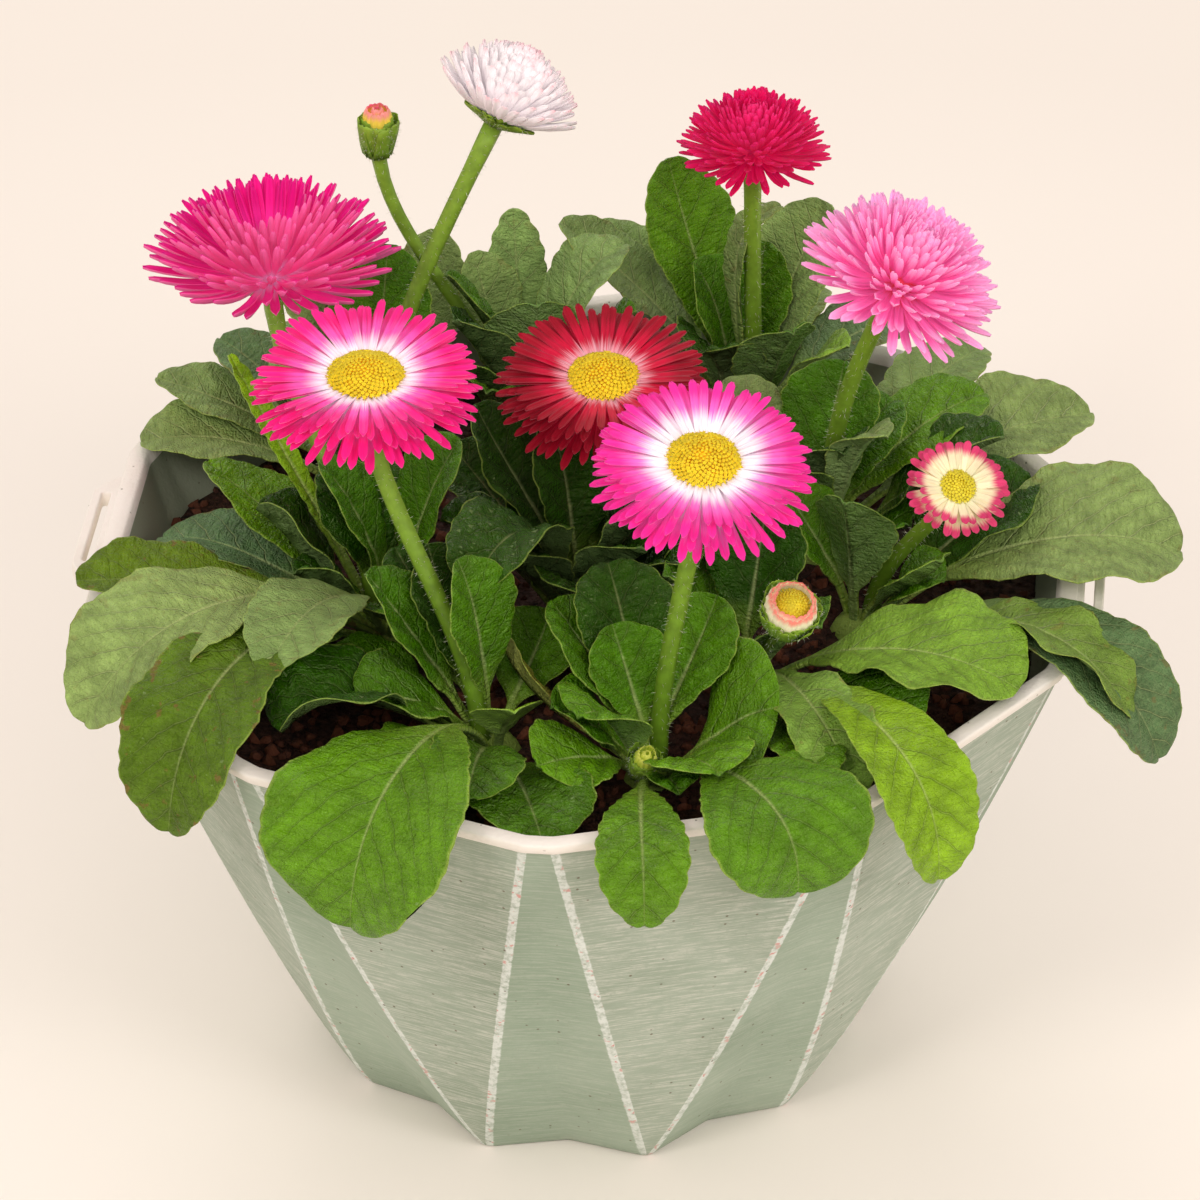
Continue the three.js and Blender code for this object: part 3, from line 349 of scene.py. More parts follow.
def leaf_surface(root, row, phase, habit):
    """Points in mm, quads and point values of one closed leaf."""
    tip = np.array(row[:3], float)
    rise, fall, bow, width, roll = row[3:8]
    width *= FILLER_GROWTH if width <= FILLER_WIDTH else 1
    heading = math.atan2(tip[1] - root[1], tip[0] - root[0])
    pull = np.linalg.norm(tip - root) * arc_pull(rise - fall)

    def direction(turn, tilt):
        turned = heading + math.radians(turn)
        tilted = math.radians(tilt)
        return np.array([math.cos(turned) * math.cos(tilted), math.sin(turned) * math.cos(tilted),
                         math.sin(tilted)])

    share = LEAF_END * (1 - (1 - np.linspace(0, 1, LEAF_ROWS)) ** LEAF_CROWDING)
    place, along = bend(root, root + pull * direction(bow, rise), tip - pull * direction(-bow, fall),
                        tip, share)
    across = np.array([-math.sin(heading), math.cos(heading), 0])
    side = across - (along @ across)[:, None] * along
    side /= np.linalg.norm(side, axis=1, keepdims=True)
    turned = np.radians(roll * share)[:, None]
    side = side * np.cos(turned) + np.cross(along, side) * np.sin(turned)
    normal = np.cross(along, side)

    # the outline: a spoon whose edge is cut into scallops
    blade = np.clip((share - STALK_SHARE) / (1 - STALK_SHARE), 0, 1)
    swell = np.clip(np.sin(math.pi * blade**1.62), 0, 1) ** 0.6
    step = np.linalg.norm(np.diff(place, axis=0), axis=1)
    length = np.concatenate([[0], np.cumsum(step)])
    scallop = np.abs(np.sin(math.pi * length / SCALLOP_LENGTH + phase))
    scallop = SCALLOP * scallop * smooth_step(0, 0.4, swell)
    half = (width / 2 * swell) ** 3 + (STALK_HALF_WIDTH * (1 - blade**6)) ** 3
    half = half ** (1 / 3) + scallop - SCALLOP / 2
    half = np.maximum(half, LEAST_HALF_WIDTH)
    spread = np.clip(blade * 3, 0, 1)

    # where each point lies: out from the midrib, along the leaf, and between which side veins
    u = np.sin(np.linspace(-1, 1, LEAF_COLUMNS) * math.pi / 2)[None, :]
    out = half[:, None] * u
    run = length[:, None] + 0 * u
    vein = (run - VEIN_SLOPE * np.abs(out) - VEIN_CURVE * out**2) / VEIN_SPACING

    # the two halves fold up along a rounded valley, which is 0 at the midrib and 1 at the edge
    fold = (np.sqrt(u * u + 0.03) - 0.173) / 0.842
    cup = math.radians(habit["fold"])
    up = (half * np.sin(cup) * spread)[:, None] * fold
    up = up - GROOVE_DEPTH * spread[:, None] * np.exp(-(out / GROOVE_REACH) ** 2)

    # the blade puckers up between its side veins, and less where it hangs
    between = (1 - np.cos(2 * math.pi * vein)) / 2
    inner = smooth_step(0.04, 0.3, np.abs(u)) * (1 - np.abs(u) ** 6)
    level = 0.35 + 0.65 * np.abs(normal[:, 2:3])
    up = up + habit["pucker"] * level * between * inner * spread[:, None] * (swell[:, None] ** 0.5)

    # the whole blade twists slightly, and its edge waves up and down
    twist = np.sin(phase + 6 * share)[:, None] * u * np.abs(u)
    waves = length[:, None] / WAVE_LENGTH + 0.35 * np.sign(u) + 0.5 * phase
    ripple = np.sin(2 * math.pi * waves) * np.abs(u) ** 3
    up = up + (width * swell)[:, None] * (0.03 * twist + habit["ripple"] * ripple)

    thick = STALK_THICKNESS + (BLADE_THICKNESS - STALK_THICKNESS) * spread
    body = thick[:, None] * (1 - 0.6 * np.abs(u) ** 3)
    rib = RIB_DEPTH * (1 - 0.75 * blade)[:, None] * spread[:, None] * np.exp(-(out / RIB_REACH) ** 2)

    def lay(height):
        flat = out * math.cos(cup)
        return place[:, None] + side[:, None] * flat[:, :, None] + normal[:, None] * height[:, :, None]

    top = lay(up + body / 2).reshape(-1, 3)
    under = lay(up - body / 2 - rib).reshape(-1, 3)
    twice = {"rib": out, "run": run, "vein": vein, "edge": 0 * run + np.abs(u),
             "blade": blade[:, None] + 0 * u}
    values = {key: np.tile(grid.ravel(), 2) for key, grid in twice.items()}
    values["under"] = np.repeat([0.0, 1.0], len(top))
    return np.concatenate([top, under]), sheet_faces(LEAF_ROWS, LEAF_COLUMNS), values


# %% [markdown]
# ## Leaf tones
# A living bed is never one green. Young leaves are yellow-green and glossy, old ones by the rim turn
# grey and dull with pale veins, a few show brown spots, and the puckered leaves in the middle are almost
# black-green. So a leaf names its habit, and the habit gives its tint, how much its veins show, its
# gloss, its wear, and how far it puckers and ripples.

# %% Leaf habits
HABITS = {
    "bright": dict(tint="#609206", vein=0.16, gloss=0.85, wear=0.05, pucker=1.4, ripple=0.02, fold=10),
    "mid": dict(tint="#4a7c04", vein=0.14, gloss=0.9, wear=0.05, pucker=1.7, ripple=0.035, fold=16),
    "glossy": dict(tint="#285200", vein=0.1, gloss=1.0, wear=0.03, pucker=2.0, ripple=0.05, fold=22),
    "grey": dict(tint="#86a258", vein=0.55, gloss=0.4, wear=0.25, pucker=0.8, ripple=0.03, fold=12),
    "slate": dict(tint="#5c7c4c", vein=0.5, gloss=0.4, wear=0.4, pucker=0.9, ripple=0.02, fold=12),
    "olive": dict(tint="#5c7c00", vein=0.2, gloss=0.4, wear=0.7, pucker=1.1, ripple=0.04, fold=12),
    "young": dict(tint="#84ac12", vein=0.2, gloss=0.75, wear=0.0, pucker=0.5, ripple=0.02, fold=12),
    "light": dict(tint="#8eba34", vein=0.3, gloss=0.65, wear=0.1, pucker=0.8, ripple=0.045, fold=12),
    "curled": dict(tint="#7a9c38", vein=0.4, gloss=0.5, wear=0.35, pucker=0.7, ripple=0.08, fold=16),
    "yellowing": dict(tint="#c3bb4a", vein=0.3, gloss=0.5, wear=0.8, pucker=0.3, ripple=0.03, fold=16),
}


def leaf_material():
    """Living leaf under a waxy cuticle: deep green with pale veins, and a soft broken gloss."""
    material, tree, shader = new_material("living_leaf_waxy_cuticle")
    keys = ("rib", "run", "vein", "edge", "blade", "under", "veins_show", "gloss", "wear", "own_leaf")
    value = {key: add(tree, "ShaderNodeAttribute", attribute_name=key).outputs["Fac"] for key in keys}
    tint = add(tree, "ShaderNodeAttribute", attribute_name="tint").outputs["Color"]
    place = add(tree, "ShaderNodeTexCoord").outputs["Object"]
    on_leaf = add(tree, "ShaderNodeCombineXYZ", {0: value["rib"], 1: value["run"], 2: value["own_leaf"]})

    # side veins wander a little, so the phase is shaken by a slow noise before the line is drawn
    wander = add(tree, "ShaderNodeTexNoise", {"Vector": on_leaf, "Scale": 0.22, "Detail": 2})
    shaken = add(tree, "ShaderNodeMath", {0: wander, 1: 0.35, 2: value["vein"]}, operation="MULTIPLY_ADD")
    near = add(tree, "ShaderNodeMath", {0: shaken, 1: 0.5}, operation="PINGPONG")
    line = add(tree, "ShaderNodeMapRange", {"Value": near, 1: 0.01, 2: 0.055, 3: 1, 4: 0},
               interpolation_type="SMOOTHSTEP")
    fade = add(tree, "ShaderNodeMapRange", {"Value": value["edge"], 1: 0.35, 2: 1, 3: 1, 4: 0.15})
    side_vein = add(tree, "ShaderNodeMath", {0: line, 1: fade}, operation="MULTIPLY")
    offset = add(tree, "ShaderNodeMath", {0: value["rib"]}, operation="ABSOLUTE")
    taper = add(tree, "ShaderNodeMath", {0: value["blade"], 1: 0.8, 2: offset}, operation="MULTIPLY_ADD")
    midrib = add(tree, "ShaderNodeMapRange", {"Value": taper, 1: 0.35, 2: 1.15, 3: 1, 4: 0},
                 interpolation_type="SMOOTHSTEP")

    # the finest veins part the blade into cells about 2 mm wide
    cells = add(tree, "ShaderNodeTexVoronoi", {"Vector": on_leaf, "Scale": 0.5},
                feature="DISTANCE_TO_EDGE")
    net = add(tree, "ShaderNodeMapRange", {"Value": cells, 1: 0.0, 2: 0.1, 3: 0.25, 4: 0})
    veins = add(tree, "ShaderNodeMath", {0: side_vein, 1: net}, operation="MAXIMUM")
    shown = add(tree, "ShaderNodeMath", {0: veins, 1: value["veins_show"]}, operation="MULTIPLY")
    strong = add(tree, "ShaderNodeMath", {0: midrib, 1: 0.8}, operation="MULTIPLY")
    shown = add(tree, "ShaderNodeMath", {0: shown, 1: strong}, operation="MAXIMUM")
    veins = add(tree, "ShaderNodeMath", {0: veins, 1: midrib}, operation="MAXIMUM")

    # the blade is mottled: patches about 6 mm wide, lighter and darker, with painted light on the crests
    # of the puckers and painted shade along the side veins
    patches = add(tree, "ShaderNodeTexNoise", {"Vector": place, "Scale": 160, "Detail": 4})
    shade = add(tree, "ShaderNodeMapRange", {"Value": patches, 1: 0.3, 2: 0.7, 3: 0.74, 4: 1.24})
    # painted light and shade: lighter midway between side veins, where the puckers rise, darker on the
    # veins
    painted_pucker_shading = add(tree, "ShaderNodeMapRange", {"Value": near, 1: 0, 2: 0.5, 3: 0.9, 4: 1.09})
    shade = add(tree, "ShaderNodeMath", {0: shade, 1: painted_pucker_shading}, operation="MULTIPLY")
    green = add(tree, "ShaderNodeVectorMath", {0: tint, "Scale": shade}, operation="SCALE")
    pale = add(tree, "ShaderNodeMix", {0: 0.5, 6: tint, 7: linear("#cfd894")}, data_type="RGBA")
    colour = add(tree, "ShaderNodeMix", {0: shown, 6: green, 7: pale}, data_type="RGBA")
    stalk = add(tree, "ShaderNodeMapRange", {"Value": value["blade"], 1: 0.02, 2: 0.3, 3: 0.75, 4: 0})
    colour = add(tree, "ShaderNodeMix", {0: stalk, 6: colour, 7: linear("#86a63a")}, data_type="RGBA")
    below = add(tree, "ShaderNodeMath", {0: value["under"], 1: 0.45}, operation="MULTIPLY")
    colour = add(tree, "ShaderNodeMix", {0: below, 6: colour, 7: linear("#8fa86c")}, data_type="RGBA")
    margin = add(tree, "ShaderNodeMapRange", {"Value": value["edge"], 1: 0.965, 2: 0.99, 3: 0, 4: 0.45})
    colour = add(tree, "ShaderNodeMix", {0: margin, 6: colour, 7: linear("#b4cc5c")}, data_type="RGBA")

    # wear: brown spots and a scorched edge, where the leaf is old
    spots = add(tree, "ShaderNodeTexNoise", {"Vector": place, "Scale": 330, "Detail": 3})
    rimward = add(tree, "ShaderNodeMath", {0: value["edge"], 1: 6}, operation="POWER")
    prone = add(tree, "ShaderNodeMath", {0: rimward, 1: 0.13, 2: spots}, operation="MULTIPLY_ADD")
    brown = add(tree, "ShaderNodeMapRange", {"Value": prone, 1: 0.66, 2: 0.72, 3: 0, 4: 1})
    brown = add(tree, "ShaderNodeMath", {0: brown, 1: value["wear"]}, operation="MULTIPLY")
    colour = add(tree, "ShaderNodeMix", {0: brown, 6: colour, 7: linear("#7c5c2c")}, data_type="RGBA")

    # the cuticle wrinkles across the blade, about a millimetre apart, and breaks every highlight
    grain = add(tree, "ShaderNodeTexNoise", {"Vector": place, "Scale": 1600, "Detail": 2})
    long_way = add(tree, "ShaderNodeMapping", {"Vector": on_leaf, "Scale": (0.28, 0.75, 1)})
    wrinkle = add(tree, "ShaderNodeTexNoise", {"Vector": long_way, "Scale": 1, "Detail": 4,
                                               "Roughness": 0.6, "Distortion": 0.6})
    dull = add(tree, "ShaderNodeMapRange", {"Value": value["gloss"], 3: 0.5, 4: 0.14})
    rough = add(tree, "ShaderNodeMath", {0: grain, 1: 0.16, 2: dull}, operation="MULTIPLY_ADD")
    height = add(tree, "ShaderNodeMath", {0: grain, 1: 0.35, 2: wrinkle}, operation="MULTIPLY_ADD")
    height = add(tree, "ShaderNodeMath", {0: veins, 1: -0.3, 2: height}, operation="MULTIPLY_ADD")
    bump = add(tree, "ShaderNodeBump", {"Strength": 0.9, "Distance": 1.9 * MM, "Height": height})
    wire(tree, shader, {"Base Color": colour, "Roughness": rough, "Normal": bump, "IOR": 1.42,
                        "Specular IOR Level": 0.75, "Specular Tint": linear("#f2f6cc")})
    return material


LEAF = leaf_material()
print("leaf habits:", ", ".join(HABITS))

# %% [markdown]
# ## Where each plant stands and each bloom opens
# Ten small plants share the bowl. A plant is its crown's place and its leaves. A leaf is the tip's place,
# the rise at the crown, the pitch at the tip, the sideways bow, the width, the roll and the habit. A
# bloom is the plant it grows from, its place, the way it faces and its kind of flower.

# %% The plants
PLANTS = {
    "front": ((14, -68), [
        (12, -131, 119, 37, -92, -10, 21, 0, "bright"),
        (46, -117, 118, 46, -100, 8, 40, 8, "bright"),
        (43, -74, 139, 42, 10, 0, 40, 30, "bright"),
        (-12, -90, 134, 50, 5, 0, 23, -20, "bright"),
        (20, -92, 128, 30, -10, 0, 10, 0, "mid"),
        (6, -60, 127, 46, 55, 0, 15, 0, "mid"),
        (5, -53, 148, 80, 55, 0, 22, 0, "mid"),
        (-9, -48, 151, 67, 35, 0, 27, 20, "mid"),
        (4, -38, 155, 68, 33, 0, 20, 0, "glossy"),
        (29, -47, 152, 80, 60, 0, 18, 0, "mid"),
        (-20, -45, 140, 40, 60, 25, 9, 60, "yellowing"),
        (29, -99, 138, 45, 0, 0, 20, 0, "bright"),
        (-9, -72, 138, 56, 20, 0, 18, 0, "mid"),
        (-3, -85, 144, 65, 0, 0, 20, 0, "bright"),
    ]),
    "front_left": ((-22, -58), [
        (-53, -121, 111, 60, -92, 0, 50, 12, "bright"),
        (-70, -80, 136, 42, -40, -14, 40, 16, "glossy"),
        (-27, -106, 136, 42, -15, 0, 17, -20, "mid"),
        (-17, -75, 139, 70, 40, 0, 13, 0, "young"),
        (-30, -52, 165, 84, 60, 0, 17, 0, "mid"),
        (-51, -50, 160, 60, 50, 0, 22, 0, "mid"),
        (-37, -38, 160, 76, 70, 0, 22, 0, "glossy"),
        (-10, -111, 126, 30, -18, 0, 30, 0, "mid"),
        (-53, -70, 140, 60, 10, 0, 20, 0, "mid"),
        (-9, -35, 140, 56, 55, 0, 20, 0, "mid"),
        (-45, -30, 154, 60, 40, 0, 18, 0, "glossy"),
        (-61, -52, 136, 40, 10, 0, 20, 0, "mid"),
        (-41, -86, 130, 34, -10, 0, 20, 0, "bright"),
    ]),
    "left": ((-47, -11), [
        (-116, -60, 124, 55, -60, 0, 36, 0, "grey"),
        (-73, -66, 143, 65, -30, 0, 25, 0, "grey"),
        (-95, -89, 114, 48, -84, -10, 34, 0, "olive"),
        (-78, -5, 149, 36, 30, 0, 30, 30, "glossy"),
        (-69, -19, 140, 71, 30, 0, 15, 20, "glossy"),
        (-91, 16, 148, 42, 20, 0, 27, 20, "bright"),
        (-102, 10, 130, 26, -25, 0, 27, 10, "slate"),
        (-120, -22, 139, 38, 0, 0, 20, 0, "olive"),
        (-84, -34, 129, 30, -10, 0, 16, 0, "mid"),
        (-85, 23, 174, 52, 50, 0, 5, 0, "young"),
        (-63, -6, 162, 88, 45, 0, 16, 0, "mid"),
        (-30, -2, 166, 80, 50, 0, 24, 0, "mid"),
        (-77, -46, 136, 34, 0, 0, 20, 0, "mid"),
        (-25, -26, 144, 62, 20, 0, 20, 0, "mid"),
        (-43, -44, 143, 60, 20, 0, 18, 0, "mid"),
        (-61, 6, 153, 78, 18, 0, 20, 0, "glossy"),
    ]),
    "back_left": ((-53, 50), [
        (-109, 45, 135, 40, -15, 0, 25, 0, "grey"),
        (-106, 64, 142, 48, 10, 0, 16, 0, "grey"),
        (-91, 76, 146, 42, 10, 0, 22, 0, "slate"),
        (-72, 88, 180, 75, 70, 0, 17, 0, "grey"),
        (-49, 76, 173, 88, 60, 0, 20, 0, "mid"),
        (-81, 44, 151, 65, 40, 0, 17, 0, "grey"),
        (-37, 95, 166, 44, 60, 0, 22, 0, "grey"),
        (-69, 106, 134, 50, -20, 0, 24, 0, "grey"),
        (-35, 36, 156, 78, 50, 0, 20, 0, "mid"),
        (-69, 34, 158, 80, 50, 0, 18, 0, "mid"),
        (-41, 52, 162, 64, 75, 0, 18, 0, "glossy"),
        (-64, 57, 158, 72, 40, 0, 20, 0, "mid"),
        (-77, 62, 150, 60, 20, 0, 20, 0, "grey"),
    ]),
    "centre": ((-3, -8), [
        (-27, 10, 168, 88, 60, 0, 18, 0, "glossy"),
        (-10, 2, 170, 88, 51, 0, 17, 0, "glossy"),
        (-27, -48, 152, 84, -50, 0, 26, 0, "glossy"),
        (13, -28, 152, 75, 40, 0, 20, 0, "glossy"),
        (23, 6, 152, 65, 40, 0, 20, 0, "glossy"),
        (1, 26, 156, 50, 40, 0, 22, 0, "glossy"),
        (-19, -26, 150, 68, 50, 0, 17, 0, "glossy"),
        (-33, 20, 150, 58, 30, 0, 20, 0, "glossy"),
        (-1, -42, 148, 64, 20, 0, 18, 0, "glossy"),
        (-35, -12, 150, 60, 20, 0, 18, 0, "glossy"),
        (33, -12, 150, 60, 30, 0, 18, 0, "glossy"),
        (17, -14, 158, 86, 50, 0, 20, 0, "glossy"),
        (-15, 14, 152, 58, 40, 0, 20, 0, "glossy"),
        (25, -31, 149, 50, 8, 0, 20, 0, "glossy"),
    ]),
    "back": ((-15, 72), [
        (9, 84, 168, 80, 10, 0, 24, 0, "grey"),
        (-19, 100, 169, 75, 75, 0, 11, 0, "grey"),
        (-35, 70, 168, 88, 48, 0, 8, 0, "mid"),
        (-13, 62, 164, 78, 75, 0, 19, 0, "mid"),
        (1, 64, 157, 64, 50, 0, 17, 0, "mid"),
        (-29, 89, 163, 59, 60, 0, 15, 0, "grey"),
        (-25, 44, 150, 62, 30, 0, 20, 0, "mid"),
        (-27, 120, 135, 55, -20, 0, 26, 0, "grey"),
        (5, 44, 148, 60, 20, 0, 20, 0, "mid"),
        (-33, 58, 150, 70, 40, 0, 18, 0, "mid"),
        (-33, 58, 162, 80, 50, 0, 18, 0, "glossy"),
        (11, 66, 160, 50, 50, 0, 18, 0, "mid"),
    ]),
    "back_right": ((37, 80), [
        (-8, 95, 168, 72, 32, 0, 21, 0, "grey"),
        (1, 108, 160, 57, 20, 0, 17, 0, "grey"),
        (11, 80, 141, 52, -30, 0, 21, 0, "grey"),
        (19, 104, 181, 80, 70, 0, 26, 0, "bright"),
        (47, 85, 178, 86, -2, 0, 8, 0, "grey"),
        (58, 100, 171, 75, 55, 0, 26, 0, "grey"),
        (43, 96, 162, 80, 60, 0, 15, 0, "mid"),
        (26, 62, 150, 68, 10, 0, 20, 0, "glossy"),
        (63, 66, 150, 39, 20, 0, 13, 0, "light"),
        (53, 118, 137, 58, -20, 0, 24, 0, "grey"),
        (81, 98, 138, 52, -15, 0, 24, 0, "slate"),
        (49, 62, 156, 60, 50, 0, 18, 0, "mid"),
        (25, 86, 162, 82, 50, 0, 20, 0, "mid"),
    ]),
    "right": ((53, 26), [
        (95, 44, 150, 60, 5, 0, 28, 0, "bright"),
        (96, 78, 142, 52, -10, 0, 21, 0, "grey"),
        (121, 46, 143, 48, -5, 0, 34, 0, "grey"),
        (98, 18, 154, 38, 25, 0, 26, 0, "glossy"),
        (70, 8, 160, 62, 10, 0, 12, 0, "grey"),
        (31, 44, 153, 68, 10, 0, 15, 0, "grey"),
        (41, 8, 152, 76, 50, 0, 20, 0, "mid"),
        (31, 20, 156, 86, 50, 0, 20, 0, "glossy"),
        (61, 46, 158, 76, 50, 0, 20, 0, "mid"),
        (49, 50, 146, 58, 30, 0, 20, 0, "mid"),
        (76, 10, 134, 39, 22, 0, 20, 0, "mid"),
        (73, 44, 148, 60, 10, 0, 20, 0, "mid"),
        (60, 12, 153, 70, 30, 0, 20, 0, "glossy"),
    ]),
    "middle_right": ((63, -8), [
        (139, -8, 138, 48, -25, 0, 46, 12, "grey"),
        (131, -57, 112, 44, -72, 0, 30, 0, "slate"),
        (105, 12, 145, 39, 10, 0, 35, 0, "glossy"),
        (124, -57, 124, 38, -58, 0, 22, -20, "curled"),
        (81, -26, 148, 78, 60, 0, 13, 0, "bright"),
        (59, -14, 156, 84, 70, 0, 22, 0, "mid"),
        (45, 2, 150, 76, 50, 0, 17, 0, "mid"),
        (83, -14, 134, 55, 0, 0, 18, 0, "mid"),
    ]),
    "right_front": ((35, -34), [
        (98, -63, 136, 48, -25, 0, 42, 0, "light"),
        (74, -74, 134, 36, -8, 0, 26, 0, "mid"),
        (60, -95, 128, 58, -38, 0, 16, 0, "curled"),
        (53, -98, 137, 32, 14, 0, 13, 0, "bright"),
        (78, -103, 111, 46, -96, 0, 25, 0, "young"),
        (17, -40, 153, 76, 60, 0, 18, 0, "mid"),
        (41, -14, 156, 78, 60, 0, 20, 0, "glossy"),
        (17, -22, 142, 60, 30, 0, 18, 0, "mid"),
        (53, -48, 144, 68, 20, 0, 20, 0, "mid"),
    ]),
}

# %% The blooms
BLOOMS = {       # plant, place, compass turn from the front, tilt from upright, kind, size
    "magenta_left": ("left", (-75, 34, 187), 200, 4, "quilled", 1.1),
    "white_back_left": ("back_left", (-22, 66, 213), 120, 30, "cupped", 0.8),
    "crimson_back_right": ("back_right", (39, 74, 199), 0, 6, "dome", 0.76),
    "pink_right": ("right", (71, 8, 201), 60, 24, "dome", 1),
    "pink_front_left": ("front_left", (-50, -44, 205), 0, 7, "open", 1.04),
    "red_centre": ("centre", (3, 2, 177), 0, 12, "open", 1),
    "pink_front": ("front", (25, -66, 197), 10, 16, "open", 1),
    "cream_right": ("middle_right", (84, -24, 165), 20, 34, "small", 1),
    "bud_opening": ("right_front", (45, -58, 154), 20, 30, "opening", 1.25),
    "bud_back": ("back", (-51, 76, 203), 0, 4, "bud", 1),
    "bud_front": ("front", (12, -79, 127), 20, 30, "bud", 0.75),
}


CROWN_HEIGHT = 115.8              # where the lowest stalks leave a crown
CROWN_RISE = 3                    # and how much higher the steepest do
CROWN_CORE, CROWN_REACH = 1, 4.5  # steep stalks start near the middle, flat ones farther out


def root_for(crown, angle, rise):
    """Where a stalk that rises this steeply leaves the crown, in mm."""
    out = CROWN_CORE + CROWN_REACH * math.cos(math.radians(rise))
    return np.array([crown[0] + out * math.cos(angle), crown[1] + out * math.sin(angle),
                     CROWN_HEIGHT + CROWN_RISE * math.sin(math.radians(rise))])


def facing_of(turn, tilt):
    """The way a bloom faces, from its turn away from the front and its tilt from upright."""
    turn, tilt = math.radians(turn), math.radians(tilt)
    return Vector((math.sin(turn) * math.sin(tilt), -math.cos(turn) * math.sin(tilt), math.cos(tilt)))


def head_matrix(name):
    """From a bloom's own frame, with +Z out of its face, to its place in the bowl, in metres."""
    place, turn, tilt = BLOOMS[name][1:4]
    spin = Vector((0, 0, 1)).rotation_difference(facing_of(turn, tilt))
    return Matrix.Translation(Vector(place) * MM) @ spin.to_matrix().to_4x4()


print("plants:", len(PLANTS), "leaves:", sum(len(p[1]) for p in PLANTS.values()), "blooms:", len(BLOOMS))

# %% [markdown]
# ## Leaves on their crowns
# All the leaves of one plant spring from its crown, a short knot of old leaf bases at the soil. They are
# one grown thing, so they are one piece. Each leaf's colour is shaken a little from its habit's, so that
# no two leaves are the same green.

# %% Build the plants
draw = np.random.default_rng(11)
CROWN_SIDES = 24
CROWN_PROFILE = ((6.6, 107), (6.9, 113), (6.4, 116), (5.2, 118.6), (3.0, 120.2))
CROWN_TOP = 120.6
TINT_SHAKE = 0.14
BOX_GAP = 0.05 * MM
LOWEST = np.array([float(v) for v in CAD_BOX[0]]) + BOX_GAP
HIGHEST = np.array([float(v) for v in CAD_BOX[1]]) - BOX_GAP


def crown_surface(crown):
    """A low ribbed dome, closed at the top and under the soil."""
    turn = np.linspace(0, 2 * math.pi, CROWN_SIDES, endpoint=False)
    ribs = 1 + 0.05 * np.cos(turn * 6)
    points = [(crown[0] + r * rib * math.cos(a), crown[1] + r * rib * math.sin(a), z)
              for r, z in CROWN_PROFILE for a, rib in zip(turn, ribs)]
    points += [(*crown, CROWN_PROFILE[0][1]), (*crown, CROWN_TOP)]
    return np.array(points), tube_faces(len(CROWN_PROFILE), CROWN_SIDES)


def vary(code, amount):
    """A hex colour, shaken in brightness and in how yellow it is."""
    colour = np.array(linear(code))
    light, warm = 1 + draw.uniform(-amount, amount), 1 + draw.uniform(-amount, amount) / 2
    colour[:3] *= light
    colour[0] *= warm
    return np.clip(colour, 0, 1)


KEYS = ("rib", "run", "vein", "edge", "blade", "under")
for name, (crown, leaves) in PLANTS.items():
    points, faces = crown_surface(crown)
    values = {key: [np.zeros(len(points))] for key in (*KEYS, "veins_show", "gloss", "wear", "own_leaf")}
    values["edge"] = [np.full(len(points), 0.5)]
    tints = [np.tile(linear("#5a6a24"), (len(points), 1))]
    clouds, total = [points], len(points)
    for i, row in enumerate(leaves):
        habit = HABITS[row[8]]
        angle = math.atan2(row[1] - crown[1], row[0] - crown[0])
        cloud, quads, own = leaf_surface(root_for(crown, angle, row[3]), row, i * 1.7, habit)
        faces += [tuple(k + total for k in quad) for quad in quads]
        clouds.append(cloud)
        total += len(cloud)
        tints.append(np.tile(vary(habit["tint"], TINT_SHAKE), (len(cloud), 1)))
        for key in KEYS:
            values[key].append(own[key])
        values["own_leaf"].append(np.full(len(cloud), draw.uniform(0, 90)))
        for key, source in (("veins_show", "vein"), ("gloss", "gloss"), ("wear", "wear")):
            values[key].append(np.full(len(cloud), habit[source]))
    # a wave of a leaf that would pass the box of the solids is held back to it
    inside = np.clip(np.concatenate(clouds) * MM, LOWEST, HIGHEST)
    plant = make_piece(f"leaves_{name}", inside, faces, LEAF,
                       {key: np.concatenate(rows) for key, rows in values.items()},
                       {"tint": np.concatenate(tints)})
    dress(plant, "leaf", f"plant_{name}")

# %% [markdown]
# ## Repeating with geometry nodes
# A daisy is built by repeating: up to four hundred ray petals in tiers, nearly three hundred florets in a
# spiral, thousands of hairs on the stalks. Copying them by hand would be slow, so a geometry tree places
# one petal or one floret at every point of a pattern. The tree's inputs are named for the sizes that a
# florist would give, and one function fills them in, runs the tree and keeps the result as plain mesh.

# %% Running a geometry tree
def new_tree(name, sockets):
    """A geometry tree with one geometry in and out, and a named input for each size."""
    tree = bpy.data.node_groups.new(name, "GeometryNodeTree")
    tree.interface.new_socket("Geometry", in_out="INPUT", socket_type="NodeSocketGeometry")
    for label, kind in {**sockets, "Seed": "Int", "Material": "Material"}.items():
        tree.interface.new_socket(label, in_out="INPUT", socket_type="NodeSocket" + kind)
    tree.interface.new_socket("Geometry", in_out="OUTPUT", socket_type="NodeSocketGeometry")
    return tree, tree.nodes.new("NodeGroupInput").outputs


def end_tree(tree, geometry, material):
    """Makes the copies real, shades them smooth and gives them their material."""
    real = add(tree, "GeometryNodeRealizeInstances", {0: geometry})
    smooth = add(tree, "GeometryNodeSetShadeSmooth", {0: real})
    coated = add(tree, "GeometryNodeSetMaterial", {0: smooth, "Material": material})
    add(tree, "NodeGroupOutput", {0: coated})


def run_tree(tree, mesh, values):
    """The plain mesh that a tree makes from a mesh, with these named inputs."""
    holder = bpy.data.objects.new("holder", mesh)
    bpy.context.scene.collection.objects.link(holder)
    modifier = holder.modifiers.new("tree", "NODES")
    modifier.node_group = tree
    named = {item.name: item.identifier for item in tree.interface.items_tree
             if item.in_out == "INPUT"}
    for label, value in values.items():
        modifier[named[label]] = value
    graph = bpy.context.evaluated_depsgraph_get()
    result = bpy.data.meshes.new_from_object(holder.evaluated_get(graph),
                                             preserve_all_data_layers=True, depsgraph=graph)
    bpy.data.objects.remove(holder)
    return result


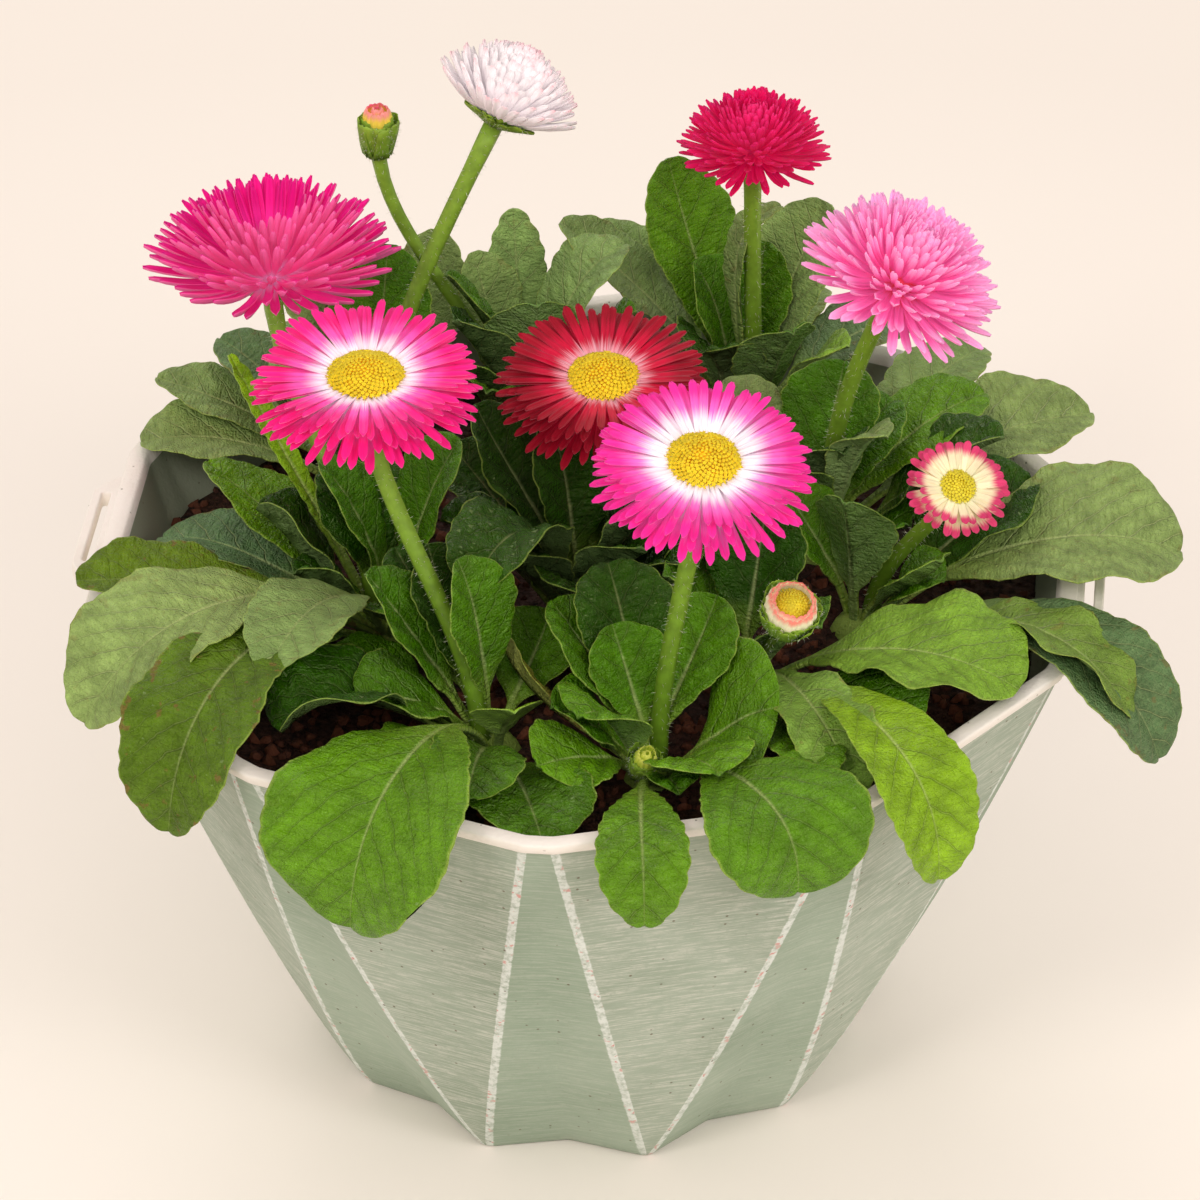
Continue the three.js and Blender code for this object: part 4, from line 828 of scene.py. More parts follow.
# %% [markdown]
# Tiers overlap like roof tiles. The tree numbers the petals, finds the tier of each, and blends every
# size from the outer tier to the inner one, because a real head's petals grow shorter and steeper towards
# its middle. No petal lies exactly in its row, so each gets small draws of its own.

# %% The tree for tiers of petals
TIER_SIZES = {
    "Petals In A Tier": "Int", "Tiers": "Int", "Outer Radius": "Float", "Inner Radius": "Float",
    "Outer Height": "Float", "Inner Height": "Float", "Outer Lift": "Float", "Inner Lift": "Float",
    "Outer Length": "Float", "Inner Length": "Float", "Outer Width": "Float", "Inner Width": "Float",
    "Looseness": "Float",
}
TIERS, given = new_tree("petal_tiers", TIER_SIZES)
count = add(TIERS, "ShaderNodeMath", {0: given["Petals In A Tier"], 1: given["Tiers"]},
            operation="MULTIPLY")
index = add(TIERS, "GeometryNodeInputIndex")
share = add(TIERS, "ShaderNodeMath", {0: index, 1: given["Petals In A Tier"]}, operation="DIVIDE")
tier = add(TIERS, "ShaderNodeMath", {0: share}, operation="FLOOR")
last_tier = add(TIERS, "ShaderNodeMath", {0: given["Tiers"], 1: 1}, operation="SUBTRACT")
inward = add(TIERS, "ShaderNodeMapRange", {"Value": tier, 1: 0, 2: last_tier})

# four independent draws for every petal: turn, lift, length and roll
draws = []
for step in range(4):
    seed = add(TIERS, "ShaderNodeMath", {0: given["Seed"], 1: step}, operation="ADD")
    draws.append(add(TIERS, "FunctionNodeRandomValue", {2: -1, 3: 1, "ID": index, "Seed": seed},
                     data_type="FLOAT"))
mixed = {}
for size in ("Radius", "Height", "Lift", "Length", "Width"):
    mixed[size] = add(TIERS, "ShaderNodeMix",
                      {0: inward, 2: given["Outer " + size], 3: given["Inner " + size]})
loose = [add(TIERS, "ShaderNodeMath", {0: one, 1: given["Looseness"]}, operation="MULTIPLY")
         for one in draws]

# every second tier is turned by half a petal, so that its petals cover the gaps below
shaken = add(TIERS, "ShaderNodeMath", {0: loose[0], 1: 0.4}, operation="MULTIPLY")
shaken = add(TIERS, "ShaderNodeMath", {0: shaken, 1: given["Petals In A Tier"]}, operation="DIVIDE")
turns = add(TIERS, "ShaderNodeMath", {0: tier, 1: 0.5}, operation="MULTIPLY")
turns = add(TIERS, "ShaderNodeMath", {0: turns, 1: given["Petals In A Tier"]}, operation="DIVIDE")
turns = add(TIERS, "ShaderNodeMath", {0: turns, 1: share}, operation="ADD")
turns = add(TIERS, "ShaderNodeMath", {0: turns, 1: shaken}, operation="ADD")
angle = add(TIERS, "ShaderNodeMath", {0: turns, 1: 2 * math.pi}, operation="MULTIPLY")
across = add(TIERS, "ShaderNodeMath", {0: angle}, operation="SINE")
ahead = add(TIERS, "ShaderNodeMath", {0: angle}, operation="COSINE")
along_x = add(TIERS, "ShaderNodeMath", {0: ahead, 1: mixed["Radius"]}, operation="MULTIPLY")
along_y = add(TIERS, "ShaderNodeMath", {0: across, 1: mixed["Radius"]}, operation="MULTIPLY")
place = add(TIERS, "ShaderNodeCombineXYZ", {0: along_x, 1: along_y, 2: mixed["Height"]})
dots = add(TIERS, "GeometryNodePoints", {"Count": count, "Position": place})

lift = add(TIERS, "ShaderNodeMath", {0: loose[1], 1: 0.16, 2: mixed["Lift"]}, operation="MULTIPLY_ADD")
lift = add(TIERS, "ShaderNodeMath", {0: lift, 1: -1}, operation="MULTIPLY")
roll = add(TIERS, "ShaderNodeMath", {0: loose[3], 1: 0.3}, operation="MULTIPLY")
tilt = add(TIERS, "ShaderNodeCombineXYZ", {0: roll, 1: lift, 2: angle})
spin = add(TIERS, "FunctionNodeEulerToRotation", {0: tilt})
stretch = add(TIERS, "ShaderNodeMath", {0: loose[2], 1: 0.08, 2: 0.96}, operation="MULTIPLY_ADD")
length = add(TIERS, "ShaderNodeMath", {0: stretch, 1: mixed["Length"]}, operation="MULTIPLY")
scale = add(TIERS, "ShaderNodeCombineXYZ", {0: length, 1: mixed["Width"], 2: length})
petals = add(TIERS, "GeometryNodeInstanceOnPoints",
             {"Points": dots, "Instance": given["Geometry"], "Rotation": spin, "Scale": scale})
petals = add(TIERS, "GeometryNodeStoreNamedAttribute",
             {"Geometry": petals, "Name": "own_draw", "Value": draws[2]},
             data_type="FLOAT", domain="INSTANCE")
end_tree(TIERS, petals, given["Material"])

# %% [markdown]
# Florets fill a disc in the order in which they grew: each is turned by the golden angle from the one
# before, and its distance grows with the square root of its number, so that all have the same room.

# %% The tree for a spiral of florets
GOLDEN_ANGLE = 137.508
SPIRAL, given = new_tree("floret_spiral", {
    "Florets": "Int", "Radius": "Float", "Dome Height": "Float", "Floret Size": "Float"})
index = add(SPIRAL, "GeometryNodeInputIndex")
half_on = add(SPIRAL, "ShaderNodeMath", {0: index, 1: 0.5}, operation="ADD")
area = add(SPIRAL, "ShaderNodeMath", {0: half_on, 1: given["Florets"]}, operation="DIVIDE")
reach = add(SPIRAL, "ShaderNodeMath", {0: area}, operation="SQRT")
radius = add(SPIRAL, "ShaderNodeMath", {0: reach, 1: given["Radius"]}, operation="MULTIPLY")
golden = add(SPIRAL, "ShaderNodeMath", {0: index, 1: math.radians(GOLDEN_ANGLE)}, operation="MULTIPLY")
ahead = add(SPIRAL, "ShaderNodeMath", {0: golden}, operation="COSINE")
across = add(SPIRAL, "ShaderNodeMath", {0: golden}, operation="SINE")
along_x = add(SPIRAL, "ShaderNodeMath", {0: ahead, 1: radius}, operation="MULTIPLY")
along_y = add(SPIRAL, "ShaderNodeMath", {0: across, 1: radius}, operation="MULTIPLY")
fall = add(SPIRAL, "ShaderNodeMath", {0: 1, 1: area}, operation="SUBTRACT")
height = add(SPIRAL, "ShaderNodeMath", {0: fall, 1: given["Dome Height"]}, operation="MULTIPLY")
place = add(SPIRAL, "ShaderNodeCombineXYZ", {0: along_x, 1: along_y, 2: height})
dots = add(SPIRAL, "GeometryNodePoints", {"Count": given["Florets"], "Position": place})
slope = add(SPIRAL, "ShaderNodeMath", {0: given["Dome Height"], 1: 2}, operation="MULTIPLY")
slope = add(SPIRAL, "ShaderNodeMath", {0: slope, 1: reach}, operation="MULTIPLY")
lean = add(SPIRAL, "ShaderNodeMath", {0: slope, 1: given["Radius"]}, operation="DIVIDE")
lean_x = add(SPIRAL, "ShaderNodeMath", {0: ahead, 1: lean}, operation="MULTIPLY")
lean_y = add(SPIRAL, "ShaderNodeMath", {0: across, 1: lean}, operation="MULTIPLY")
out = add(SPIRAL, "ShaderNodeCombineXYZ", {0: lean_x, 1: lean_y, 2: 1})
spin = add(SPIRAL, "FunctionNodeAlignRotationToVector", {"Vector": out}, axis="Z")
chance = add(SPIRAL, "FunctionNodeRandomValue", {2: 0.8, 3: 1.2, "ID": index, "Seed": given["Seed"]},
             data_type="FLOAT")
opening = add(SPIRAL, "ShaderNodeMapRange", {"Value": reach, 1: 0.1, 2: 0.9, 3: 0.62, 4: 1.05})
size = add(SPIRAL, "ShaderNodeMath", {0: chance, 1: opening}, operation="MULTIPLY")
size = add(SPIRAL, "ShaderNodeMath", {0: size, 1: given["Floret Size"]}, operation="MULTIPLY")
florets = add(SPIRAL, "GeometryNodeInstanceOnPoints",
              {"Points": dots, "Instance": given["Geometry"], "Rotation": spin, "Scale": size})
florets = add(SPIRAL, "GeometryNodeStoreNamedAttribute",
              {"Geometry": florets, "Name": "own_draw", "Value": chance},
              data_type="FLOAT", domain="INSTANCE")
end_tree(SPIRAL, florets, given["Material"])
print("trees:", ", ".join(tree.name for tree in bpy.data.node_groups))

# %% [markdown]
# ## One petal and one floret
# A ray petal is a strap: narrow at its foot, widest near its blunt tip, with two shallow grooves. A
# floret is a tiny yellow tube that opens into five points. Each is modelled once at unit size, with only
# a few dozen faces, because a head repeats it hundreds of times. The petal keeps how far along and across
# it every point lies, so its material can change from a white foot to a bright tip.

# %% Templates
PETAL_ROWS = 7
FLORET_SIDES = 10                 # a point and a notch in turn, five of each
FLORET_LEVELS = ((0.26, -0.5, False), (0.3, 0.35, False), (0.5, 0.75, True), (0.12, 0.42, False))


def petal_template(name, waist, curl, groove, tip_from=0.86, columns=5):
    """A closed petal one unit long and one wide, running along +X with its face towards +Z."""
    along = 1 - (1 - np.linspace(0, 1, PETAL_ROWS)) ** 1.5
    blunt = np.sqrt(np.clip(1 - (np.clip(along - tip_from, 0, 1) / (1.005 - tip_from)) ** 2, 0, 1))
    half = 0.5 * (waist + (1 - waist) * np.clip(along / 0.7, 0, 1) ** 1.2) * blunt + 0.01
    u = np.linspace(-1, 1, columns)
    x = along[:, None] + 0 * u
    y = half[:, None] * u
    arch = curl * along**2.2
    z = arch[:, None] + groove * (np.abs(u) ** 2 - 0.5 * (u == 0)) * np.sqrt(half)[:, None]
    thick = 0.011 * (1 - 0.55 * np.abs(u) ** 2) * (1 - 0.35 * along[:, None])
    top = np.stack([x, y, z + thick], 2).reshape(-1, 3)
    under = np.stack([x, y, z - thick], 2).reshape(-1, 3)
    values = {"along": np.tile(x.ravel(), 2), "across": np.tile((u + 0 * x).ravel(), 2),
              "under": np.repeat([0.0, 1.0], len(top))}
    return new_mesh(name, np.concatenate([top, under]), sheet_faces(PETAL_ROWS, columns), values)


def floret_template(name, points_open):
    """A five-pointed tube one unit wide, standing along +Z, whose points open by this share."""
    points, along = [], []
    for radius, height, is_star in FLORET_LEVELS:
        for i in range(FLORET_SIDES):
            turn = i * 2 * math.pi / FLORET_SIDES
            is_point = i % 2 == 0
            reach = radius
            lift = height
            if is_star:
                reach *= 1 + points_open * (1 if is_point else -1)
                lift += 0.12 if is_point else 0
            points.append((reach * math.cos(turn), reach * math.sin(turn), lift))
            along.append(min(1, max(0, height / 0.75)))
    points += [(0, 0, -0.5), (0, 0, 0.4)]
    along += [0, 0.1]
    return new_mesh(name, points, tube_faces(len(FLORET_LEVELS), FLORET_SIDES), {"along": along})


STRAP = petal_template("strap_petal", 0.84, -0.03, 0.035)
INCURVED = petal_template("incurved_petal", 0.8, 0.3, 0.05, 0.8, 3)
QUILL = petal_template("quill_petal", 0.75, 0.2, 0.05, 0.7, 3)
HOODED = petal_template("hooded_petal", 0.8, 0.34, 0.12)
BRACT = petal_template("bract", 1.2, 0.12, 0.08)
FLORET = floret_template("open_floret", 0.3)
print("faces of a petal:", len(STRAP.polygons), "and of a floret:", len(FLORET.polygons))

# %% [markdown]
# ## Petal colours
# A petal's colour lies in its thin skin cells: they are packed with red-violet sap at the tip and nearly
# empty at the foot, where the white of the airy tissue shows. So the material blends three colours along
# the petal, breaks the edge of each blend with streaks that run lengthwise, and shifts every petal a
# little. Petals are velvety, so they are rough, with a faint sheen. In a packed head, light also passes
# from petal to petal, so they scatter a little light inside. They also get a painted glow: they give off
# light of their own, though they are no lamp.

# %% Petal material
# painted light: the faint glow that every petal gives off, though it is no lamp
FAINT_PAINTED_GLOW = 0.06


def petal_material(name, foot, body, tip, body_from, tip_from, streak, painted_glow):
    """Daisy ray petal: sap-filled velvet skin, white at the foot and deepest at the tip, with a painted
    glow.
    """
    material, tree, shader = new_material(name)
    along, across, under, own = [
        add(tree, "ShaderNodeAttribute", attribute_name=key).outputs["Fac"]
        for key in ("along", "across", "under", "own_draw")]
    on_petal = add(tree, "ShaderNodeCombineXYZ", {0: along, 1: across, 2: own})
    drawn_out = add(tree, "ShaderNodeMapping", {"Vector": on_petal, "Scale": (1.2, 3.5, 9)})
    streaks = add(tree, "ShaderNodeTexNoise", {"Vector": drawn_out, "Scale": 1, "Detail": 3})
    centred = add(tree, "ShaderNodeMath", {0: streaks, 1: 0.5}, operation="SUBTRACT")
    shaken = add(tree, "ShaderNodeMath", {0: centred, 1: streak, 2: along}, operation="MULTIPLY_ADD")
    shaken = add(tree, "ShaderNodeMath", {0: own, 1: 0.06, 2: shaken}, operation="MULTIPLY_ADD")
    to_body = add(tree, "ShaderNodeMapRange",
                  {"Value": shaken, 1: body_from - 0.14, 2: body_from + 0.2},
                  interpolation_type="SMOOTHSTEP")
    to_tip = add(tree, "ShaderNodeMapRange", {"Value": shaken, 1: tip_from - 0.12, 2: tip_from + 0.16},
                 interpolation_type="SMOOTHSTEP")
    colour = add(tree, "ShaderNodeMix", {0: to_body, 6: linear(foot), 7: linear(body)}, data_type="RGBA")
    colour = add(tree, "ShaderNodeMix", {0: to_tip, 6: colour, 7: linear(tip)}, data_type="RGBA")
    light = add(tree, "ShaderNodeMapRange", {"Value": own, 1: -1, 2: 1, 3: 0.88, 4: 1.14})
    fine = add(tree, "ShaderNodeMapRange", {"Value": streaks, 1: 0.3, 2: 0.7, 3: 0.9, 4: 1.1})
    light = add(tree, "ShaderNodeMath", {0: light, 1: fine}, operation="MULTIPLY")
    colour = add(tree, "ShaderNodeVectorMath", {0: colour.outputs[2], "Scale": light}, operation="SCALE")
    paler = add(tree, "ShaderNodeMath", {0: under, 1: 0.25}, operation="MULTIPLY")
    colour = add(tree, "ShaderNodeMix", {0: paler, 6: colour, 7: linear(foot)}, data_type="RGBA")
    ribs = add(tree, "ShaderNodeMath", {0: across, 1: 7}, operation="MULTIPLY")
    ribs = add(tree, "ShaderNodeMath", {0: ribs}, operation="COSINE")
    height = add(tree, "ShaderNodeMath", {0: ribs, 1: 0.4, 2: streaks}, operation="MULTIPLY_ADD")
    bump = add(tree, "ShaderNodeBump", {"Strength": 0.35, "Distance": 0.25 * MM, "Height": height})
    # the emission is painted light: the petal glows in its own colour, though it is no lamp
    wire(tree, shader, {"Base Color": colour, "Normal": bump, "Roughness": 0.52, "IOR": 1.4,
                        "Specular IOR Level": 0.28, "Sheen Weight": 0.04,
                        "Subsurface Weight": 0.12, "Subsurface Radius": (0.8, 0.7, 0.75),
                        "Subsurface Scale": 0.6 * MM,
                        "Emission Color": colour, "Emission Strength": painted_glow})
    return material


# %% Floret and green materials
def plain_plant_material(name, low, high, mottle, roughness, weight=0.15):
    """Soft plant tissue: one colour at the foot and one at the tip, mottled by a fine noise."""
    material, tree, shader = new_material(name)
    place = add(tree, "ShaderNodeTexCoord").outputs["Object"]
    along = add(tree, "ShaderNodeAttribute", attribute_name="along").outputs["Fac"]
    own = add(tree, "ShaderNodeAttribute", attribute_name="own_draw").outputs["Fac"]
    spots = add(tree, "ShaderNodeTexNoise", {"Vector": place, "Scale": 420, "Detail": 3})
    colour = add(tree, "ShaderNodeMix", {0: along, 6: linear(low), 7: linear(high)}, data_type="RGBA")
    light = add(tree, "ShaderNodeMapRange", {"Value": spots, 1: 0.3, 2: 0.7, 3: 1 - mottle, 4: 1 + mottle})
    light = add(tree, "ShaderNodeMath", {0: own, 1: 0.06, 2: light}, operation="MULTIPLY_ADD")
    colour = add(tree, "ShaderNodeVectorMath", {0: colour.outputs[2], "Scale": light}, operation="SCALE")
    bump = add(tree, "ShaderNodeBump", {"Strength": 0.3, "Distance": 0.2 * MM, "Height": spots})
    wire(tree, shader, {"Base Color": colour, "Normal": bump, "Roughness": roughness, "IOR": 1.4,
                        "Subsurface Weight": weight, "Subsurface Radius": (0.8, 0.9, 0.3),
                        "Subsurface Scale": 1 * MM})
    return material


# %% The colours of every bloom
PAINTED_GLOW = {        # painted glow: packed heads are given a stronger glow of their own than open ones, which keep the faint one
    "magenta_left": 0.14, "crimson_back_right": 0.13, "pink_right": 0.14,
    "bud_opening": 0.12, "bud_back": 0.12, "bud_front": 0.1,
}
PETALS = {      # foot, body, tip, where the body colour and the tip colour start, streakiness
    "magenta_left": ("#ffb4dc", "#f4269c", "#e60e84", 0.2, 0.6, 0.35),
    "white_back_left": ("#fdf2f5", "#fff8fa", "#e02c60", 0.3, 1.03, 0.08),
    "crimson_back_right": ("#f0408c", "#e8126a", "#de0a5e", 0.12, 0.6, 0.3),
    "pink_right": ("#f65a78", "#fc7cc8", "#feaade", 0.2, 0.72, 0.3),
    "pink_front_left": ("#fdeaf8", "#f858b4", "#f01e84", 0.3, 0.62, 0.4),
    "red_centre": ("#f6b4c4", "#c60c38", "#9c0422", 0.17, 0.6, 0.6),
    "pink_front": ("#fff2fc", "#f868c4", "#f02c9a", 0.4, 0.7, 0.4),
    "cream_right": ("#f6efc4", "#f6e4bc", "#cf3a6a", 0.3, 0.66, 0.35),
    "bud_opening": ("#e8e49a", "#fff2d6", "#ee4c66", 0.2, 0.84, 0.15),
    "bud_back": ("#d0dc70", "#f8cc3c", "#f0688c", 0.3, 0.8, 0.2),
    "bud_front": ("#b4c83c", "#ccd848", "#e0e068", 0.3, 0.8, 0.2),
}
DISC_YELLOW = plain_plant_material("pollen_yellow_florets", "#f4b608", "#ffe226", 0.14, 0.6, 0.25)
DISC_LIME = plain_plant_material("young_yellow_florets", "#dcc40c", "#f6e63c", 0.12, 0.6, 0.25)
DISC_CORAL = plain_plant_material("coral_florets", "#e83c34", "#ff7a6c", 0.15, 0.6, 0.25)
STALK = plain_plant_material("green_flower_stalk", "#5e8218", "#86a834", 0.18, 0.5)
BRACT_SKIN = plain_plant_material("green_bract_skin", "#6c9428", "#86a834", 0.2, 0.55)
HAIR = plain_plant_material("white_plant_hair", "#dfe6c0", "#f2f4e0", 0.05, 0.6)
print("petal colours:", len(PETALS))

# %% [markdown]
# ## The flower heads
# Each kind of bloom is a set of sizes for the petal tree, in millimetres and degrees. An open head has
# flat tiers round a wide yellow disc. A quilled, domed or cupped head is a double: its tiers climb inward
# until they close over the middle. A bud has only a few short tips. The green cup under each head is the
# same tree again with broad bracts.

# %% Kinds of bloom
KINDS = {    # petals in a tier, tiers, then outer and inner: radius, height, lift, length, width
    "open": (42, 4, (7.2, 6.8), (0.6, 3.0), (-9, 13), (18.6, 16.2), (2.2, 2.0), STRAP),
    "small": (28, 2, (3.6, 3.2), (0.9, 2.0), (2, 18), (9.0, 8.2), (2.1, 1.9), STRAP),
    "quilled": (38, 7, (5.5, 3.0), (1.4, 4.6), (0, 52), (22.4, 16.5), (2.2, 1.7), QUILL),
    "dome": (42, 9, (5.2, 1.4), (1.0, 6.0), (-16, 70), (18.6, 12.5), (2.4, 1.8), INCURVED),
    "cupped": (38, 8, (5.2, 1.4), (1.0, 6.0), (8, 76), (18.8, 17), (3.3, 2.6), INCURVED),
    "bud": (14, 2, (3.0, 1.8), (0.6, 1.4), (74, 80), (6.2, 5.6), (2.2, 1.8), HOODED),
    "opening": (20, 2, (4.5, 4.1), (-0.4, 0.6), (76, 80), (4.6, 4.2), (2.3, 2.1), HOODED),
}
LOOSENESS = {"open": 0.6, "small": 0.6, "quilled": 0.8, "dome": 0.8, "cupped": 0.5, "bud": 0.3,
             "opening": 0.3}
DISCS = {    # florets, radius, dome height, height of its foot in the head, floret size
    "magenta_left": (46, 3.6, 2.2, 7.6, 1.4), "pink_right": (34, 2.8, 1.6, 5.6, 1.0),
    "pink_front_left": (290, 8.2, 3.2, 3.0, 1.1), "red_centre": (270, 8.0, 3.0, 2.8, 1.1),
    "pink_front": (270, 8.0, 3.0, 2.8, 1.1), "cream_right": (110, 3.9, 1.6, 2.0, 0.85),
    "bud_opening": (150, 3.5, 3.0, 2.0, 0.62),
}
DISC_FINISHES = {"pink_right": DISC_CORAL, "cream_right": DISC_LIME, "bud_opening": DISC_LIME}
BRACT_KINDS = {   # bracts, tiers, radius, height, lift, length, width
    "open": (13, 2, (2.4, 2.2), (-3.6, -3.0), (28, 24), (8.6, 8.4), (3.8, 3.6)),
    "small": (12, 2, (2.0, 1.8), (-3.2, -2.8), (34, 30), (5.0, 4.8), (2.6, 2.4)),
    "cupped": (12, 2, (2.6, 2.4), (-2.6, -2.0), (18, 10), (10.6, 10.0), (4.4, 4.2)),
    "bud": (12, 2, (2.9, 2.7), (-5.6, -5.2), (72, 76), (10.4, 9.8), (4.6, 4.4)),
    "opening": (14, 2, (3.6, 3.2), (-4.4, -3.8), (67, 63), (7.0, 6.6), (3.2, 3.0)),
}
PETAL_SLOTS = {
    "magenta_left": "petal_magenta", "white_back_left": "petal_white",
    "crimson_back_right": "petal_crimson", "pink_right": "petal_light_pink",
    "pink_front_left": "petal_pink", "red_centre": "petal_red", "pink_front": "petal_pink",
    "cream_right": "petal_cream", "bud_opening": "petal_bud_cream", "bud_back": "petal_bud_pink",
    "bud_front": "petal_bud_green",
}


# %% [markdown]
# A head is its tiers of petals and a receptacle, the turned knob on which they grow, joined into one
# piece. The knob fills the middle, so that no gap shows between the petals' feet. A disc is its florets
# on a low dome, joined in the same way.

# %% Helpers for heads
def tier_values(row, size, looseness, seed, material):
    """The petal tree's inputs from one row of sizes in mm and degrees."""
    values = {"Petals In A Tier": row[0], "Tiers": row[1], "Looseness": looseness, "Seed": seed,
              "Material": material}
    for label, (outer, inner) in zip(("Radius", "Height", "Lift", "Length", "Width"), row[2:7]):
        unit = math.pi / 180 if label == "Lift" else size * MM
        values["Outer " + label], values["Inner " + label] = outer * unit, inner * unit
    return values


def lathe_mesh(name, profile, sides, material, share=0.5):
    """A closed turned shape from (radius, height) pairs in mm, whose ends are on the axis."""
    turn = np.linspace(0, 2 * math.pi, sides, endpoint=False)
    points = [(r * math.cos(a) * MM, r * math.sin(a) * MM, z * MM) for r, z in profile[1:-1] for a in turn]
    points += [(0, 0, profile[0][1] * MM), (0, 0, profile[-1][1] * MM)]
    faces = tube_faces(len(profile) - 2, sides)
    return coat(new_mesh(name, points, faces, {"along": [share] * len(points)}), material)


def join_meshes(name, meshes):
    """One mesh from several, keeping their named values and materials."""
    objects = [place_piece(mesh.name, mesh) for mesh in meshes]
    with bpy.context.temp_override(active_object=objects[0], selected_editable_objects=objects,
                                   object=objects[0], selected_objects=objects):
        bpy.ops.object.join()
    mesh = objects[0].data
    bpy.data.objects.remove(objects[0])
    mesh.name = name
    return mesh


# %% Build the heads
RAY_SEED = 40                     # the first head's, and the next ones count on from it
LATHE_SIDES = 24
CORE_TONE = 0.08                  # a receptacle has the colour of the petals' feet
CORE_SHARE = 0.97                 # and stays just inside the ring of their feet
OPEN_SPREAD = 1.6                 # but it is wider than that ring under an open head

for number, (name, bloom) in enumerate(BLOOMS.items()):
    kind, size = bloom[4:]
    matrix = head_matrix(name)
    skin = petal_material("petal_skin_" + name, *PETALS[name], PAINTED_GLOW.get(name, FAINT_PAINTED_GLOW))
    row = KINDS[kind]
    rays = run_tree(TIERS, row[7], tier_values(row, size, LOOSENESS[kind], RAY_SEED + number, skin))
    high = (row[3][1] + 0.3) * size
    wide = row[2][0] * CORE_SHARE * size
    spread = OPEN_SPREAD if kind in ("open", "small") else 1
    profile = [(0, 0.2), (wide * 0.8, 0.1), (wide * spread, 0.1 + high * 0.25),
               (wide * (1 + spread) / 2, high * 0.7), (wide * 0.8, high), (0, high + 0.2)]
    core = lathe_mesh("core", profile, LATHE_SIDES, skin, CORE_TONE)
    rays = join_meshes("rays_of_" + name, [rays, core])
    dress(place_piece("rays_of_" + name, rays, matrix), PETAL_SLOTS[name], f"rays_{name}")
    if name in DISCS:
        florets, radius, height, lift, floret = DISCS[name]
        if kind == "opening":
            radius, height = radius * size, height * size
        finish = DISC_FINISHES.get(name, DISC_YELLOW)
        sizes = {"Florets": florets, "Radius": radius * MM, "Dome Height": height * MM,
                 "Floret Size": floret * MM, "Seed": number, "Material": finish}
        tuft = run_tree(SPIRAL, FLORET, sizes)
        profile = [(0, -0.6), (radius, -0.5), (radius, -0.1), (radius * 0.7, height * 0.5), (0, height)]
        dome = lathe_mesh("dome", profile, LATHE_SIDES, finish)
        tuft = join_meshes("florets", [tuft, dome])
        raise_up = Matrix.Translation((0, 0, lift * size * MM))
        slot = "disc_coral" if finish is DISC_CORAL else "disc_yellow"
        dress(place_piece("florets_of_" + name, tuft, matrix @ raise_up), slot, f"disc_{name}")
print("blooms built:", len(BLOOMS))

# %% [markdown]
# ## Stalks, bracts and hairs
# Every head stands on a bare stalk that rises from the crown and turns to face with its bloom. The stalk
# is slightly ribbed and thickens under the head. Green bracts cup the petals from below. The whole green
# part is covered with fine white hairs, which catch the light as a pale rim, so a tree scatters thin
# cones over it, each leaning a little off the skin.

# %% The tree for hairs
FUR, given = new_tree("fine_hairs", {"Hairs Per Square Metre": "Float", "Length": "Float",
                                     "Thickness": "Float"})
spots = add(FUR, "GeometryNodeDistributePointsOnFaces",
            {"Mesh": given["Geometry"], "Density": given["Hairs Per Square Metre"], "Seed": given["Seed"]})
cone = add(FUR, "GeometryNodeMeshCone", {"Vertices": 3, "Radius Bottom": given["Thickness"],
                                         "Depth": given["Length"]})
index = add(FUR, "GeometryNodeInputIndex")
lean = add(FUR, "FunctionNodeRandomValue", {0: (-0.5, -0.5, -0.5), 1: (0.5, 0.5, 0.5), "ID": index,
                                            "Seed": given["Seed"]}, data_type="FLOAT_VECTOR")
size = add(FUR, "FunctionNodeRandomValue", {2: 0.55, 3: 1.1, "ID": index, "Seed": given["Seed"]},
           data_type="FLOAT")
bristle = add(FUR, "FunctionNodeRotateRotation", {0: spots.outputs["Rotation"], 1: lean},
              rotation_space="LOCAL")
hairs = add(FUR, "GeometryNodeInstanceOnPoints",
            {"Points": spots, "Instance": cone, "Rotation": bristle, "Scale": size})
end_tree(FUR, hairs, given["Material"])

# %% Build the stalks and cups
STALK_RINGS, STALK_SIDES = 18, 12
STALK_RADIUS = 1.95
STALK_TURN = 0.9                  # radians from a bloom's direction to where its stalk leaves the crown
STALK_RISE = 60                   # degrees, which sets how far out on the crown it starts
STALK_END = 2.4                   # how far under the middle of its bloom it ends
BUD_SLIMNESS = 0.8
BRACT_SEED = 70                   # the first cup's, and the next ones count on from it
BRACT_LOOSENESS = 0.5
CUP_SIDES = 20
HAIRS_PER_SQUARE_METRE = 300000
HAIR_THICKNESS = 0.07


def stalk_surface(root, place, facing, slim):
    """Points in mm, quads and shares of a closed ribbed tube from the crown to under the head."""
    end = place - facing * STALK_END
    pull = np.linalg.norm(end - root) * 0.35
    share = np.linspace(0, 1, STALK_RINGS)
    centre, along = bend(root, root + pull * np.array([0, 0, 1.0]), end - pull * facing, end, share)
    side = np.cross(along, [0.0, 1.0, 0.03])
    side /= np.linalg.norm(side, axis=1, keepdims=True)
    other = np.cross(along, side)
    turn = np.linspace(0, 2 * math.pi, STALK_SIDES, endpoint=False)
    radius = STALK_RADIUS + 0.35 * smooth_step(0.85, 1, share) + 0.2 * smooth_step(0.2, 0, share)
    radius = slim * radius[:, None] * (1 + 0.06 * np.cos(turn * 6))[None, :]
    ring = side[:, None] * np.cos(turn)[None, :, None] + other[:, None] * np.sin(turn)[None, :, None]
    points = (centre[:, None] + ring * radius[:, :, None]).reshape(-1, 3)
    points = np.concatenate([points, [centre[0] - along[0] * 0.5, end]])
    shares = np.concatenate([np.repeat(share, STALK_SIDES), [0, 1]])
    return points, tube_faces(STALK_RINGS, STALK_SIDES), shares


